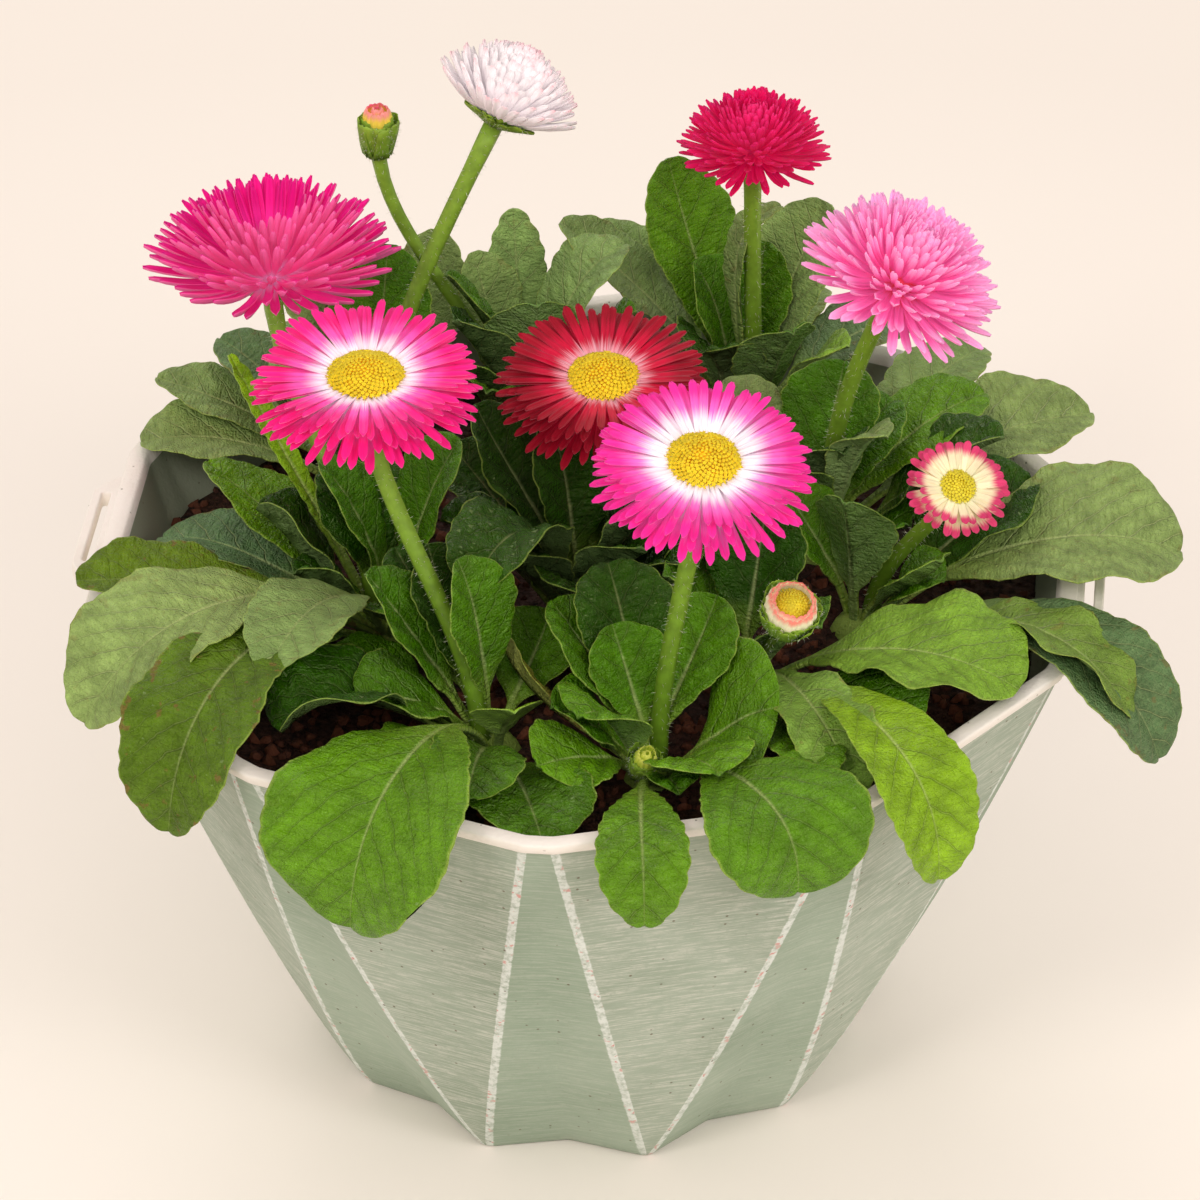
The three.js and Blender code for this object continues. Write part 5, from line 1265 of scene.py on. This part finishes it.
for number, (name, (plant, place, turn, tilt, kind, size)) in enumerate(BLOOMS.items()):
    crown = PLANTS[plant][0]
    facing = np.array(facing_of(turn, tilt))
    place = np.array(place, float)
    angle = math.atan2(place[1] - crown[1], place[0] - crown[0]) + STALK_TURN
    slim = BUD_SLIMNESS if kind in ("bud", "opening") else 1
    points, faces, shares = stalk_surface(root_for(crown, angle, STALK_RISE), place, facing, slim)
    stalk = make_piece("stalk_of_" + name, points * MM, faces, STALK, {"along": shares})
    dress(stalk, "leaf")
    # doubles and open heads have the same cup
    row = BRACT_KINDS.get(kind, BRACT_KINDS["open"])
    values = tier_values(row, size, BRACT_LOOSENESS, BRACT_SEED + number, BRACT_SKIN)
    cup = run_tree(TIERS, BRACT, values)
    deep = row[3][0]
    wide = row[5][0] * 0.5 * math.cos(math.radians(row[4][0])) + row[2][0]
    profile = [(0, deep * size), (1.9, deep * size), (wide * size * 0.9, deep * 0.45 * size),
               (wide * size, 0.2), (0, 0.4)]
    cup = join_meshes("bracts", [cup, lathe_mesh("core", profile, CUP_SIDES, BRACT_SKIN)])
    bracts = place_piece("bracts_of_" + name, cup, head_matrix(name))
    dress(bracts, "leaf")
    for part, thing, length in (("stalk", stalk, 1.4), ("bract", bracts, 1.0)):
        sizes = {"Hairs Per Square Metre": HAIRS_PER_SQUARE_METRE, "Length": length * MM,
                 "Thickness": HAIR_THICKNESS * MM, "Seed": number, "Material": HAIR}
        fur = run_tree(FUR, thing.data, sizes)
        dress(place_piece(f"{part}_hairs_of_{name}", fur), "leaf")
print("stalks built:", len(BLOOMS))

# %% [markdown]
# ## The bowl's outline
# The bowl tapers from a ten-sided rim to a foot like a blunt star. Between its ten wide facets run narrow
# ones, each hollowed along a valley. Two functions give the outline at any height, outside and inside,
# because the peat has to fit the bowl as exactly as the bowl fits its solid.

# %% The bowl's outline
POT_HEIGHT = 133
SIDES = 10
FIRST_FACET = 12.5                # degrees from the front to the first wide facet
RIM_RADIUS = 120
RIM_WIDTH = 4.6
RIM_STEP = 1.2                    # how far the rim stands out from the wall
RIM_DROP = 3
FOOT_RADIUS = 62
FOOT_HOLLOW = 4.5
WALL = 3.2
FLOOR = 4
BULGE = 0.86
NARROW_HALF = 1.5                 # half of a narrow facet at the rim, in degrees
FOOT_POINT_HALF = 0.7
SOIL_LEVEL = 115.5


def bowl_corners(height, inset):
    """The 30 corners of the bowl at this height: two of each wide facet, then the next hollow."""
    climb = min(1, height / POT_HEIGHT)
    wall_rim = RIM_RADIUS - RIM_STEP
    radius = FOOT_RADIUS + (wall_rim - FOOT_RADIUS) * climb**BULGE - inset
    rim_half = wall_rim * math.tan(math.radians(180 / SIDES - NARROW_HALF))
    half_width = FOOT_POINT_HALF + (rim_half - FOOT_POINT_HALF) * climb
    half_angle = math.degrees(math.atan(half_width / (radius + inset)))
    flat = radius * math.cos(math.radians(180 / SIDES - half_angle))
    valley = flat - FOOT_HOLLOW * (1 - climb) ** 1.5
    ring = []
    for side in range(SIDES):
        centre = FIRST_FACET + side * 360 / SIDES
        for angle, reach in ((centre - half_angle, radius), (centre + half_angle, radius),
                             (centre + 180 / SIDES, valley)):
            turn = math.radians(angle)
            ring.append((reach * math.sin(turn), -reach * math.cos(turn)))
    return np.array(ring)


def cavity_corners(height, inset):
    """The corners of the space inside the bowl, which runs straight between three levels."""
    levels = (FLOOR, 60, POT_HEIGHT)
    upper = 1 if height <= levels[1] else 2
    low, high = levels[upper - 1], levels[upper]
    share = (height - low) / (high - low)
    inset_at = [inset + (RIM_WIDTH - RIM_STEP if level == POT_HEIGHT else WALL) for level in (low, high)]
    return bowl_corners(low, inset_at[0]) * (1 - share) + bowl_corners(high, inset_at[1]) * share


# %% [markdown]
# ## Peat
# Potting peat is a heap of dark fibres and crumbs, from dust up to bits of bark. The body is a lumpy
# solid with the bowl's own outline, and a tree strews bits over its top: angular, reddish brown, and
# slightly shiny where they are damp.

# %% Peat material
def peat_material():
    """Damp sphagnum peat with composted bark: near black in the gaps, red-brown on its crumbs."""
    material, tree, shader = new_material("damp_peat_and_bark")
    place = add(tree, "ShaderNodeTexCoord").outputs["Object"]
    own = add(tree, "ShaderNodeAttribute", attribute_name="own_draw").outputs["Fac"]
    lumps = add(tree, "ShaderNodeTexNoise", {"Vector": place, "Scale": 420, "Detail": 6,
                                             "Roughness": 0.65})
    dust = add(tree, "ShaderNodeTexVoronoi", {"Vector": place, "Scale": 700})
    ramp = add(tree, "ShaderNodeMapRange", {"Value": lumps, 1: 0.35, 2: 0.7})
    colour = add(tree, "ShaderNodeMix", {0: ramp, 6: linear("#1c0f0a"), 7: linear("#553122")},
                 data_type="RGBA")
    bark = add(tree, "ShaderNodeMapRange", {"Value": own, 1: 0.5, 2: 1, 3: 0, 4: 0.7})
    colour = add(tree, "ShaderNodeMix", {0: bark, 6: colour, 7: linear("#84492f")}, data_type="RGBA")
    height = add(tree, "ShaderNodeMath", {0: dust, 1: 0.6, 2: lumps}, operation="MULTIPLY_ADD")
    bump = add(tree, "ShaderNodeBump", {"Strength": 0.9, "Distance": 1.2 * MM, "Height": height})
    damp = add(tree, "ShaderNodeMapRange", {"Value": lumps, 1: 0.4, 2: 0.7, 3: 0.95, 4: 0.5})
    wire(tree, shader, {"Base Color": colour, "Normal": bump, "Roughness": damp, "IOR": 1.4})
    return material


# %% The tree for peat crumbs
CRUMBS, given = new_tree("crumbs", {"Crumbs Per Square Metre": "Float", "Size": "Float",
                                    "Lowest Height": "Float"})
where = add(CRUMBS, "GeometryNodeInputPosition")
apart = add(CRUMBS, "ShaderNodeSeparateXYZ", {0: where})
on_top = add(CRUMBS, "FunctionNodeCompare", {0: apart.outputs["Z"], 1: given["Lowest Height"]},
             operation="GREATER_THAN")
spots = add(CRUMBS, "GeometryNodeDistributePointsOnFaces",
            {"Mesh": given["Geometry"], "Selection": on_top,
             "Density": given["Crumbs Per Square Metre"], "Seed": given["Seed"]})
index = add(CRUMBS, "GeometryNodeInputIndex")
ball = add(CRUMBS, "GeometryNodeMeshIcoSphere", {"Radius": 1.0, "Subdivisions": 1})
rough = add(CRUMBS, "ShaderNodeTexNoise", {"Scale": 1.4, "Detail": 1})
push = add(CRUMBS, "ShaderNodeMapRange", {"Value": rough, 1: 0.3, 2: 0.7, 3: 0.5, 4: 1.3})
outward = add(CRUMBS, "ShaderNodeVectorMath", {0: where, "Scale": push}, operation="SCALE")
stone = add(CRUMBS, "GeometryNodeSetPosition", {"Geometry": ball, "Position": outward})
spin = add(CRUMBS, "FunctionNodeRandomValue", {0: (0, 0, 0), 1: (6.28, 6.28, 6.28), "ID": index,
                                               "Seed": given["Seed"]}, data_type="FLOAT_VECTOR")
chance = add(CRUMBS, "FunctionNodeRandomValue", {2: 0, 3: 1, "ID": index, "Seed": given["Seed"]},
             data_type="FLOAT")
# few large bits and many small ones: the draw is raised to a power before it sets the size
rare = add(CRUMBS, "ShaderNodeMath", {0: chance, 1: 3}, operation="POWER")
grown = add(CRUMBS, "ShaderNodeMapRange", {"Value": rare, 3: 0.3, 4: 1.0})
size = add(CRUMBS, "ShaderNodeMath", {0: grown, 1: given["Size"]}, operation="MULTIPLY")
long_side = add(CRUMBS, "ShaderNodeMath", {0: size, 1: 1.5}, operation="MULTIPLY")
shape = add(CRUMBS, "ShaderNodeCombineXYZ", {0: long_side, 1: size, 2: size})
bits = add(CRUMBS, "GeometryNodeInstanceOnPoints",
           {"Points": spots, "Instance": stone, "Rotation": spin, "Scale": shape})
bits = add(CRUMBS, "GeometryNodeStoreNamedAttribute",
           {"Geometry": bits, "Name": "own_draw", "Value": chance},
           data_type="FLOAT", domain="INSTANCE")
end_tree(CRUMBS, bits, given["Material"])

# %% Build the peat
TOP_RINGS, TOP_COLUMNS = 46, 150
PEAT_GAP = 0.3                    # between the peat and the bowl
PEAT_DOME = 1.3                   # how far the middle of the bed stands above its edge
CRUMBS_PER_SQUARE_METRE = 100000
CRUMB_SIZE = 2.3
LOWEST_CRUMB = 113                # keeps the crumbs on the bed's top


def even_ring(corners, count):
    """Points spread over a closed outline, the same number on each of its edges."""
    per_edge = count // len(corners)
    share = np.arange(per_edge)[:, None] / per_edge
    edges = [start * (1 - share) + end * share for start, end in zip(corners, np.roll(corners, -1, 0))]
    return np.concatenate(edges)


edge = even_ring(cavity_corners(SOIL_LEVEL, PEAT_GAP), TOP_COLUMNS)
rings = []
for height in (FLOOR + PEAT_GAP, 30, 60, 90, 110):
    outline = even_ring(cavity_corners(height, PEAT_GAP), TOP_COLUMNS)
    rings.append(np.column_stack([outline, np.full(TOP_COLUMNS, height)]))
for share in np.linspace(1, 0.02, TOP_RINGS):
    rows = []
    for x, y in edge * share:
        lump = noise.noise(Vector((x, y, 0)) * 0.11) * 1.1 + noise.noise(Vector((x, y, 5)) * 0.4) * 0.8
        rows.append((x, y, SOIL_LEVEL + PEAT_DOME * (1 - share**2) + lump * min(1, (1 - share) * 12)))
    rings.append(np.array(rows))
points = np.concatenate(rings)
top = len(points)
points = np.concatenate([points, [points[-TOP_COLUMNS:].mean(0), (0, 0, FLOOR + PEAT_GAP)]])
faces = grid_faces(len(rings), TOP_COLUMNS, closed=True)
faces += fan_faces(top, top - TOP_COLUMNS, TOP_COLUMNS)
faces += fan_faces(top + 1, 0, TOP_COLUMNS, under=True)
PEAT = peat_material()
peat = make_piece("peat_bed", points * MM, faces, PEAT, {"own_draw": np.zeros(len(points))})
dress(peat, "soil", "soil")
crumbs = run_tree(CRUMBS, peat.data, {
    "Crumbs Per Square Metre": CRUMBS_PER_SQUARE_METRE, "Size": CRUMB_SIZE * MM,
    "Lowest Height": LOWEST_CRUMB * MM, "Seed": 3, "Material": PEAT})
dress(place_piece("peat_crumbs", crumbs), "soil")
print("crumb faces:", len(crumbs.polygons))

# %% [markdown]
# ## The bowl
# The bowl is cast resin with a stone-like grain, painted sage and then rubbed: a nearly dry brush of
# off-white catches on the ridges and leaves faint level strokes on the facets. The outline is the same
# as in the solids, with its sharp corners rounded by a fraction of a millimetre, since real paint never
# has a knife edge. Every point keeps its distance from the nearest ridge, so the paint knows where the
# brush touches, and a zone number: the wall, the rim or the inside.

# %% Bowl surface
CORNER_ROUND = 0.9
WIDE_SHARES = (0.03, 0.14, 0.3, 0.5, 0.7, 0.86, 0.97)
NARROW_SHARES = (0.12, 0.5, 0.88)
FAR_FROM_RIDGE = 30


def rounded_ring(corners, rounding):
    """The outline's points with rounded corners, their distance from a ridge, and 1 on wide facets."""
    total = len(corners)
    points, ridge, wide = [], [], []
    for i, corner in enumerate(corners):
        before, after = corners[i - 1], corners[(i + 1) % total]
        back, ahead = before - corner, after - corner
        short = min(np.linalg.norm(back), np.linalg.norm(ahead))
        cut = min(rounding, 0.4 * short)
        start = corner + back / np.linalg.norm(back) * cut
        end = corner + ahead / np.linalg.norm(ahead) * cut
        which = i % 3             # 0 begins a wide facet, 1 ends it, and 2 is the next valley
        wide += [(0, 0.5, 1), (1, 0.5, 0), (0, 0, 0)][which]
        for place in (start, 0.25 * start + 0.5 * corner + 0.25 * end, end):
            points.append(place)
            ridge.append(np.linalg.norm(back) if which == 2 else 0)
        far = after + (corner - after) / np.linalg.norm(ahead) * min(cut, 0.4 * np.linalg.norm(ahead))
        for share in (WIDE_SHARES if which == 0 else NARROW_SHARES):
            place = end * (1 - share) + far * share
            points.append(place)
            wide.append(1 if which == 0 else 0)
            from_here, from_next = np.linalg.norm(place - corner), np.linalg.norm(place - after)
            ridge.append((min(from_here, from_next), from_here, from_next)[which])
    return np.array(points), ridge, wide


WALL_ZONE, RIM_ZONE, INNER_ZONE = 0.0, 1.0, 2.0
levels = [("out", 0, 0.7, WALL_ZONE), ("out", 0.25, 0.2, WALL_ZONE), ("out", 0.8, 0, WALL_ZONE)]
levels += [("out", h, 0, WALL_ZONE) for h in (3, 7, 12, 18, 26, 34, 42, 50, 60, 70, 80, 90, 100, 110, 120)]
under_rim = POT_HEIGHT - RIM_DROP
levels += [("out", under_rim - 0.8, 0, WALL_ZONE), ("out", under_rim, 0.0, WALL_ZONE)]
levels += [("out", under_rim + 0.02, -RIM_STEP + 0.35, RIM_ZONE),
           ("out", under_rim + 0.35, -RIM_STEP, RIM_ZONE),
           ("out", POT_HEIGHT - 0.6, -RIM_STEP, RIM_ZONE),
           ("out", POT_HEIGHT - 0.18, -RIM_STEP + 0.18, RIM_ZONE),
           ("out", POT_HEIGHT, -RIM_STEP + 0.6, RIM_ZONE),
           ("out", POT_HEIGHT, RIM_WIDTH - RIM_STEP - 0.5, RIM_ZONE)]
levels += [("in", POT_HEIGHT - 0.5, 0, RIM_ZONE), ("in", POT_HEIGHT - 2.4, 0, RIM_ZONE),
           ("in", POT_HEIGHT - 2.8, 0, INNER_ZONE)]
levels += [("in", h, 0, INNER_ZONE) for h in (124, 116, 100, 80, 60, 30, FLOOR + 0.4)]
levels += [("in", FLOOR, 0.4, INNER_ZONE)]
rings, ridges, zones, facets = [], [], [], []
for side, height, inset, zone in levels:
    corners = bowl_corners(height, inset) if side == "out" else cavity_corners(height, inset)
    outline, ridge, wide = rounded_ring(corners, CORNER_ROUND)
    rings.append(np.column_stack([outline, np.full(len(outline), height)]))
    ridges += ridge
    facets += wide
    zones += [zone] * len(outline)
columns = len(rings[0])
points = np.concatenate(rings + [[(0, 0, 0), (0, 0, FLOOR)]])
ridges += [FAR_FROM_RIDGE] * 2
facets += [0, 0]
zones += [WALL_ZONE, INNER_ZONE]
faces = tube_faces(len(rings), columns)
print("bowl columns and rings:", columns, len(rings))


# %% [markdown]
# The paint has a story that the shader follows in order: sage base coat with a cloudy tone, level dry
# strokes, a feathered off-white on the ridges with a few pink specks of an earlier coat, then the rim,
# which is nearly all off-white, and the grey-green inside. Last come small dark pinholes everywhere, where
# the resin had bubbles.

# %% Bowl material
def bowl_material():
    """Cast resin with a stone grain, matt sage paint, and an off-white dry brush on the ridges."""
    material, tree, shader = new_material("dry_brushed_cast_resin")
    place = add(tree, "ShaderNodeTexCoord").outputs["Object"]
    ridge = add(tree, "ShaderNodeAttribute", attribute_name="ridge").outputs["Fac"]
    zone = add(tree, "ShaderNodeAttribute", attribute_name="zone").outputs["Fac"]
    wide = add(tree, "ShaderNodeAttribute", attribute_name="wide").outputs["Fac"]
    clouds = add(tree, "ShaderNodeTexNoise", {"Vector": place, "Scale": 28, "Detail": 4})
    grain = add(tree, "ShaderNodeTexNoise", {"Vector": place, "Scale": 900, "Detail": 3})
    feather = add(tree, "ShaderNodeTexNoise", {"Vector": place, "Scale": 560, "Detail": 5,
                                               "Roughness": 0.7})
    level = add(tree, "ShaderNodeMapping", {"Vector": place, "Scale": (110, 110, 2600)})
    strokes = add(tree, "ShaderNodeTexNoise", {"Vector": level, "Scale": 1, "Detail": 5,
                                               "Roughness": 0.65, "Distortion": 0.1})

    tone = add(tree, "ShaderNodeMapRange", {"Value": clouds, 1: 0.3, 2: 0.7})
    sage = add(tree, "ShaderNodeMix", {0: tone, 6: linear("#919e8a"), 7: linear("#a5b19f")},
               data_type="RGBA")
    plain = add(tree, "ShaderNodeMix", {0: tone, 6: linear("#8e9f89"), 7: linear("#a2b19d")},
                data_type="RGBA")
    sage = add(tree, "ShaderNodeMix", {0: wide, 6: plain, 7: sage}, data_type="RGBA")
    share = add(tree, "ShaderNodeMapRange", {"Value": wide, 3: 0.22, 4: 0.5})
    dry = add(tree, "ShaderNodeMapRange", {"Value": strokes, 1: 0.45, 2: 0.62},
              interpolation_type="SMOOTHSTEP")
    dry = add(tree, "ShaderNodeMath", {0: dry, 1: share}, operation="MULTIPLY")
    catches = add(tree, "ShaderNodeMapRange", {"Value": feather, 1: 0.25, 2: 0.52})
    dry = add(tree, "ShaderNodeMath", {0: dry, 1: catches}, operation="MULTIPLY")
    colour = add(tree, "ShaderNodeMix", {0: dry, 6: sage, 7: linear("#dcdacf")}, data_type="RGBA")

    # the brush leaves a line about 1 mm wide on a ridge, and the feather noise tears its edge
    torn = add(tree, "ShaderNodeMath", {0: feather, 1: -2.4, 2: ridge}, operation="MULTIPLY_ADD")
    brushed = add(tree, "ShaderNodeMapRange", {"Value": torn, 1: -1.45, 2: -0.6, 3: 0.85, 4: 0},
                  interpolation_type="SMOOTHSTEP")
    outer = add(tree, "ShaderNodeMapRange", {"Value": zone, 1: 0.2, 2: 0.8, 3: 1, 4: 0})
    brushed = add(tree, "ShaderNodeMath", {0: brushed, 1: outer}, operation="MULTIPLY")
    colour = add(tree, "ShaderNodeMix", {0: brushed, 6: colour, 7: linear("#e4e8e2")}, data_type="RGBA")
    pinks = add(tree, "ShaderNodeTexNoise", {"Vector": place, "Scale": 480, "Detail": 2})
    pink = add(tree, "ShaderNodeMapRange", {"Value": pinks, 1: 0.62, 2: 0.66})
    pink = add(tree, "ShaderNodeMath", {0: pink, 1: brushed}, operation="MULTIPLY")
    colour = add(tree, "ShaderNodeMix", {0: pink, 6: colour, 7: linear("#cf8a80")}, data_type="RGBA")

    on_rim = add(tree, "ShaderNodeMapRange", {"Value": zone, 1: 0.3, 2: 0.7})
    speck = add(tree, "ShaderNodeTexVoronoi", {"Vector": place, "Scale": 420})
    speck_hit = add(tree, "ShaderNodeMapRange", {"Value": speck.outputs["Distance"], 1: 0.1, 2: 0.17,
                                                 3: 0.8, 4: 0})
    rare = add(tree, "ShaderNodeSeparateXYZ", {0: speck.outputs["Color"]})
    few = add(tree, "ShaderNodeMapRange", {"Value": rare.outputs["X"], 1: 0.8, 2: 0.85})
    speck_hit = add(tree, "ShaderNodeMath", {0: speck_hit, 1: few}, operation="MULTIPLY")
    chalk = add(tree, "ShaderNodeMix", {0: tone, 6: linear("#f1e8dd"), 7: linear("#f7f0e8")},
                data_type="RGBA")
    colour = add(tree, "ShaderNodeMix", {0: on_rim, 6: colour, 7: chalk}, data_type="RGBA")
    inside = add(tree, "ShaderNodeMapRange", {"Value": zone, 1: 1.3, 2: 1.7})
    colour = add(tree, "ShaderNodeMix", {0: inside, 6: colour, 7: linear("#8f957f")}, data_type="RGBA")
    colour = add(tree, "ShaderNodeMix", {0: speck_hit, 6: colour, 7: linear("#6e5f4c")},
                 data_type="RGBA")
    deep = add(tree, "ShaderNodeMath", {0: speck_hit, 1: -1.5, 2: grain}, operation="MULTIPLY_ADD")
    raised = add(tree, "ShaderNodeMath", {0: brushed, 1: 0.3, 2: deep}, operation="MULTIPLY_ADD")
    bump = add(tree, "ShaderNodeBump", {"Strength": 0.45, "Distance": 0.4 * MM, "Height": raised})
    wire(tree, shader, {"Base Color": colour, "Normal": bump, "Roughness": 0.82, "IOR": 1.5})
    return material


BOWL = bowl_material()
bowl = make_piece("bowl", points * MM, faces, BOWL, {"ridge": ridges, "zone": zones, "wide": facets})
dress(bowl, "pot", "pot")

# %% [markdown]
# ## Grip tabs
# Two flat tabs with a slot stand out from the rim, one on each side. A curve object is handy for a flat
# part with a hole in it: two closed outlines become one plate, and the curve's own extrude and bevel give
# it thickness and soft edges. It is turned to plain mesh before it joins the scene.

# %% Build the grip tabs
TAB_SIDES = (-3, 2)               # the wide facets that carry a tab, counted from the front one
TAB_ROOT, TAB_END, TAB_REACH, TAB_THICK = 46, 34, 6, 4.2
SLOT_LENGTH, SLOT_WIDTH, SLOT_INSET = 30, 2.2, 1.4
TAB_BEVEL = 0.5
TAB_DROP = 0.2                    # the tab starts just under the rim's top, inside it
TAB_ROUNDING, SLOT_ROUNDING = 3.2, 0.9
ARC_POINTS = 5
WELD = 0.01


def softened(corners, radius):
    """A closed outline with each corner replaced by a short arc."""
    points = []
    for i, corner in enumerate(corners):
        corner = np.array(corner, float)
        edges = [np.array(other) - corner for other in (corners[i - 1], corners[(i + 1) % len(corners)])]
        start, end = [corner + edge / np.linalg.norm(edge) * min(radius, 0.45 * np.linalg.norm(edge))
                      for edge in edges]
        for t in np.linspace(0, 1, ARC_POINTS):
            points.append((1 - t) ** 2 * start + 2 * t * (1 - t) * corner + t * t * end)
    return points


tab_outline = [(-TAB_ROOT / 2, -RIM_WIDTH / 2), (TAB_ROOT / 2, -RIM_WIDTH / 2), (TAB_ROOT / 2, 0),
               (TAB_END / 2, TAB_REACH), (-TAB_END / 2, TAB_REACH), (-TAB_ROOT / 2, 0)]
slot_low, slot_high = SLOT_INSET, SLOT_INSET + SLOT_WIDTH
slot_outline = [(-SLOT_LENGTH / 2, slot_low), (SLOT_LENGTH / 2, slot_low),
                (SLOT_LENGTH / 2, slot_high), (-SLOT_LENGTH / 2, slot_high)]
flat_reach = RIM_RADIUS * math.cos(math.radians(180 / SIDES - NARROW_HALF))
for label, side in zip(("left", "right"), TAB_SIDES):
    curve = bpy.data.curves.new("tab_outline", "CURVE")
    curve.dimensions = "2D"
    curve.fill_mode = "BOTH"
    for outline, rounding in ((tab_outline, TAB_ROUNDING), (slot_outline, SLOT_ROUNDING)):
        spline = curve.splines.new("POLY")
        ring = softened(outline, rounding)
        spline.points.add(len(ring) - 1)
        for point, (x, y) in zip(spline.points, ring):
            point.co = (x * MM, y * MM, 0, 1)
        spline.use_cyclic_u = True
    curve.extrude = (TAB_THICK / 2 - TAB_BEVEL) * MM
    curve.bevel_depth = TAB_BEVEL * MM
    curve.bevel_resolution = 2
    curve.offset = -TAB_BEVEL * MM
    holder = bpy.data.objects.new("holder", curve)
    bpy.context.scene.collection.objects.link(holder)
    graph = bpy.context.evaluated_depsgraph_get()
    tab = bpy.data.meshes.new_from_object(holder.evaluated_get(graph), depsgraph=graph)
    bpy.data.objects.remove(holder)
    turn_outward(tab, WELD * MM)
    tab.materials.clear()
    tab.materials.append(BOWL)
    for key, value in (("ridge", FAR_FROM_RIDGE), ("zone", RIM_ZONE), ("wide", 0)):
        tab.attributes.new(key, "FLOAT", "POINT").data.foreach_set("value", [value] * len(tab.vertices))
    lift = Matrix.Translation((0, flat_reach * MM, (POT_HEIGHT - TAB_DROP - TAB_THICK / 2) * MM))
    spin = Matrix.Rotation(math.radians(180 + FIRST_FACET + side * 360 / SIDES), 4, "Z")
    dress(place_piece(f"grip_tab_{label}", tab, spin @ lift), "pot")
print("grip tabs:", len(TAB_SIDES))

# %% Finish
NEW_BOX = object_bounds()
for label, box in (("solids", CAD_BOX), ("visual", NEW_BOX)):
    print(label, [[round(float(v) / MM, 1) for v in corner] for corner in box])
counts = {o.name: sum(len(p.vertices) - 2 for p in o.data.polygons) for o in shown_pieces()}
print("triangles in all:", sum(counts.values()), "most in one:", max(counts.values()))
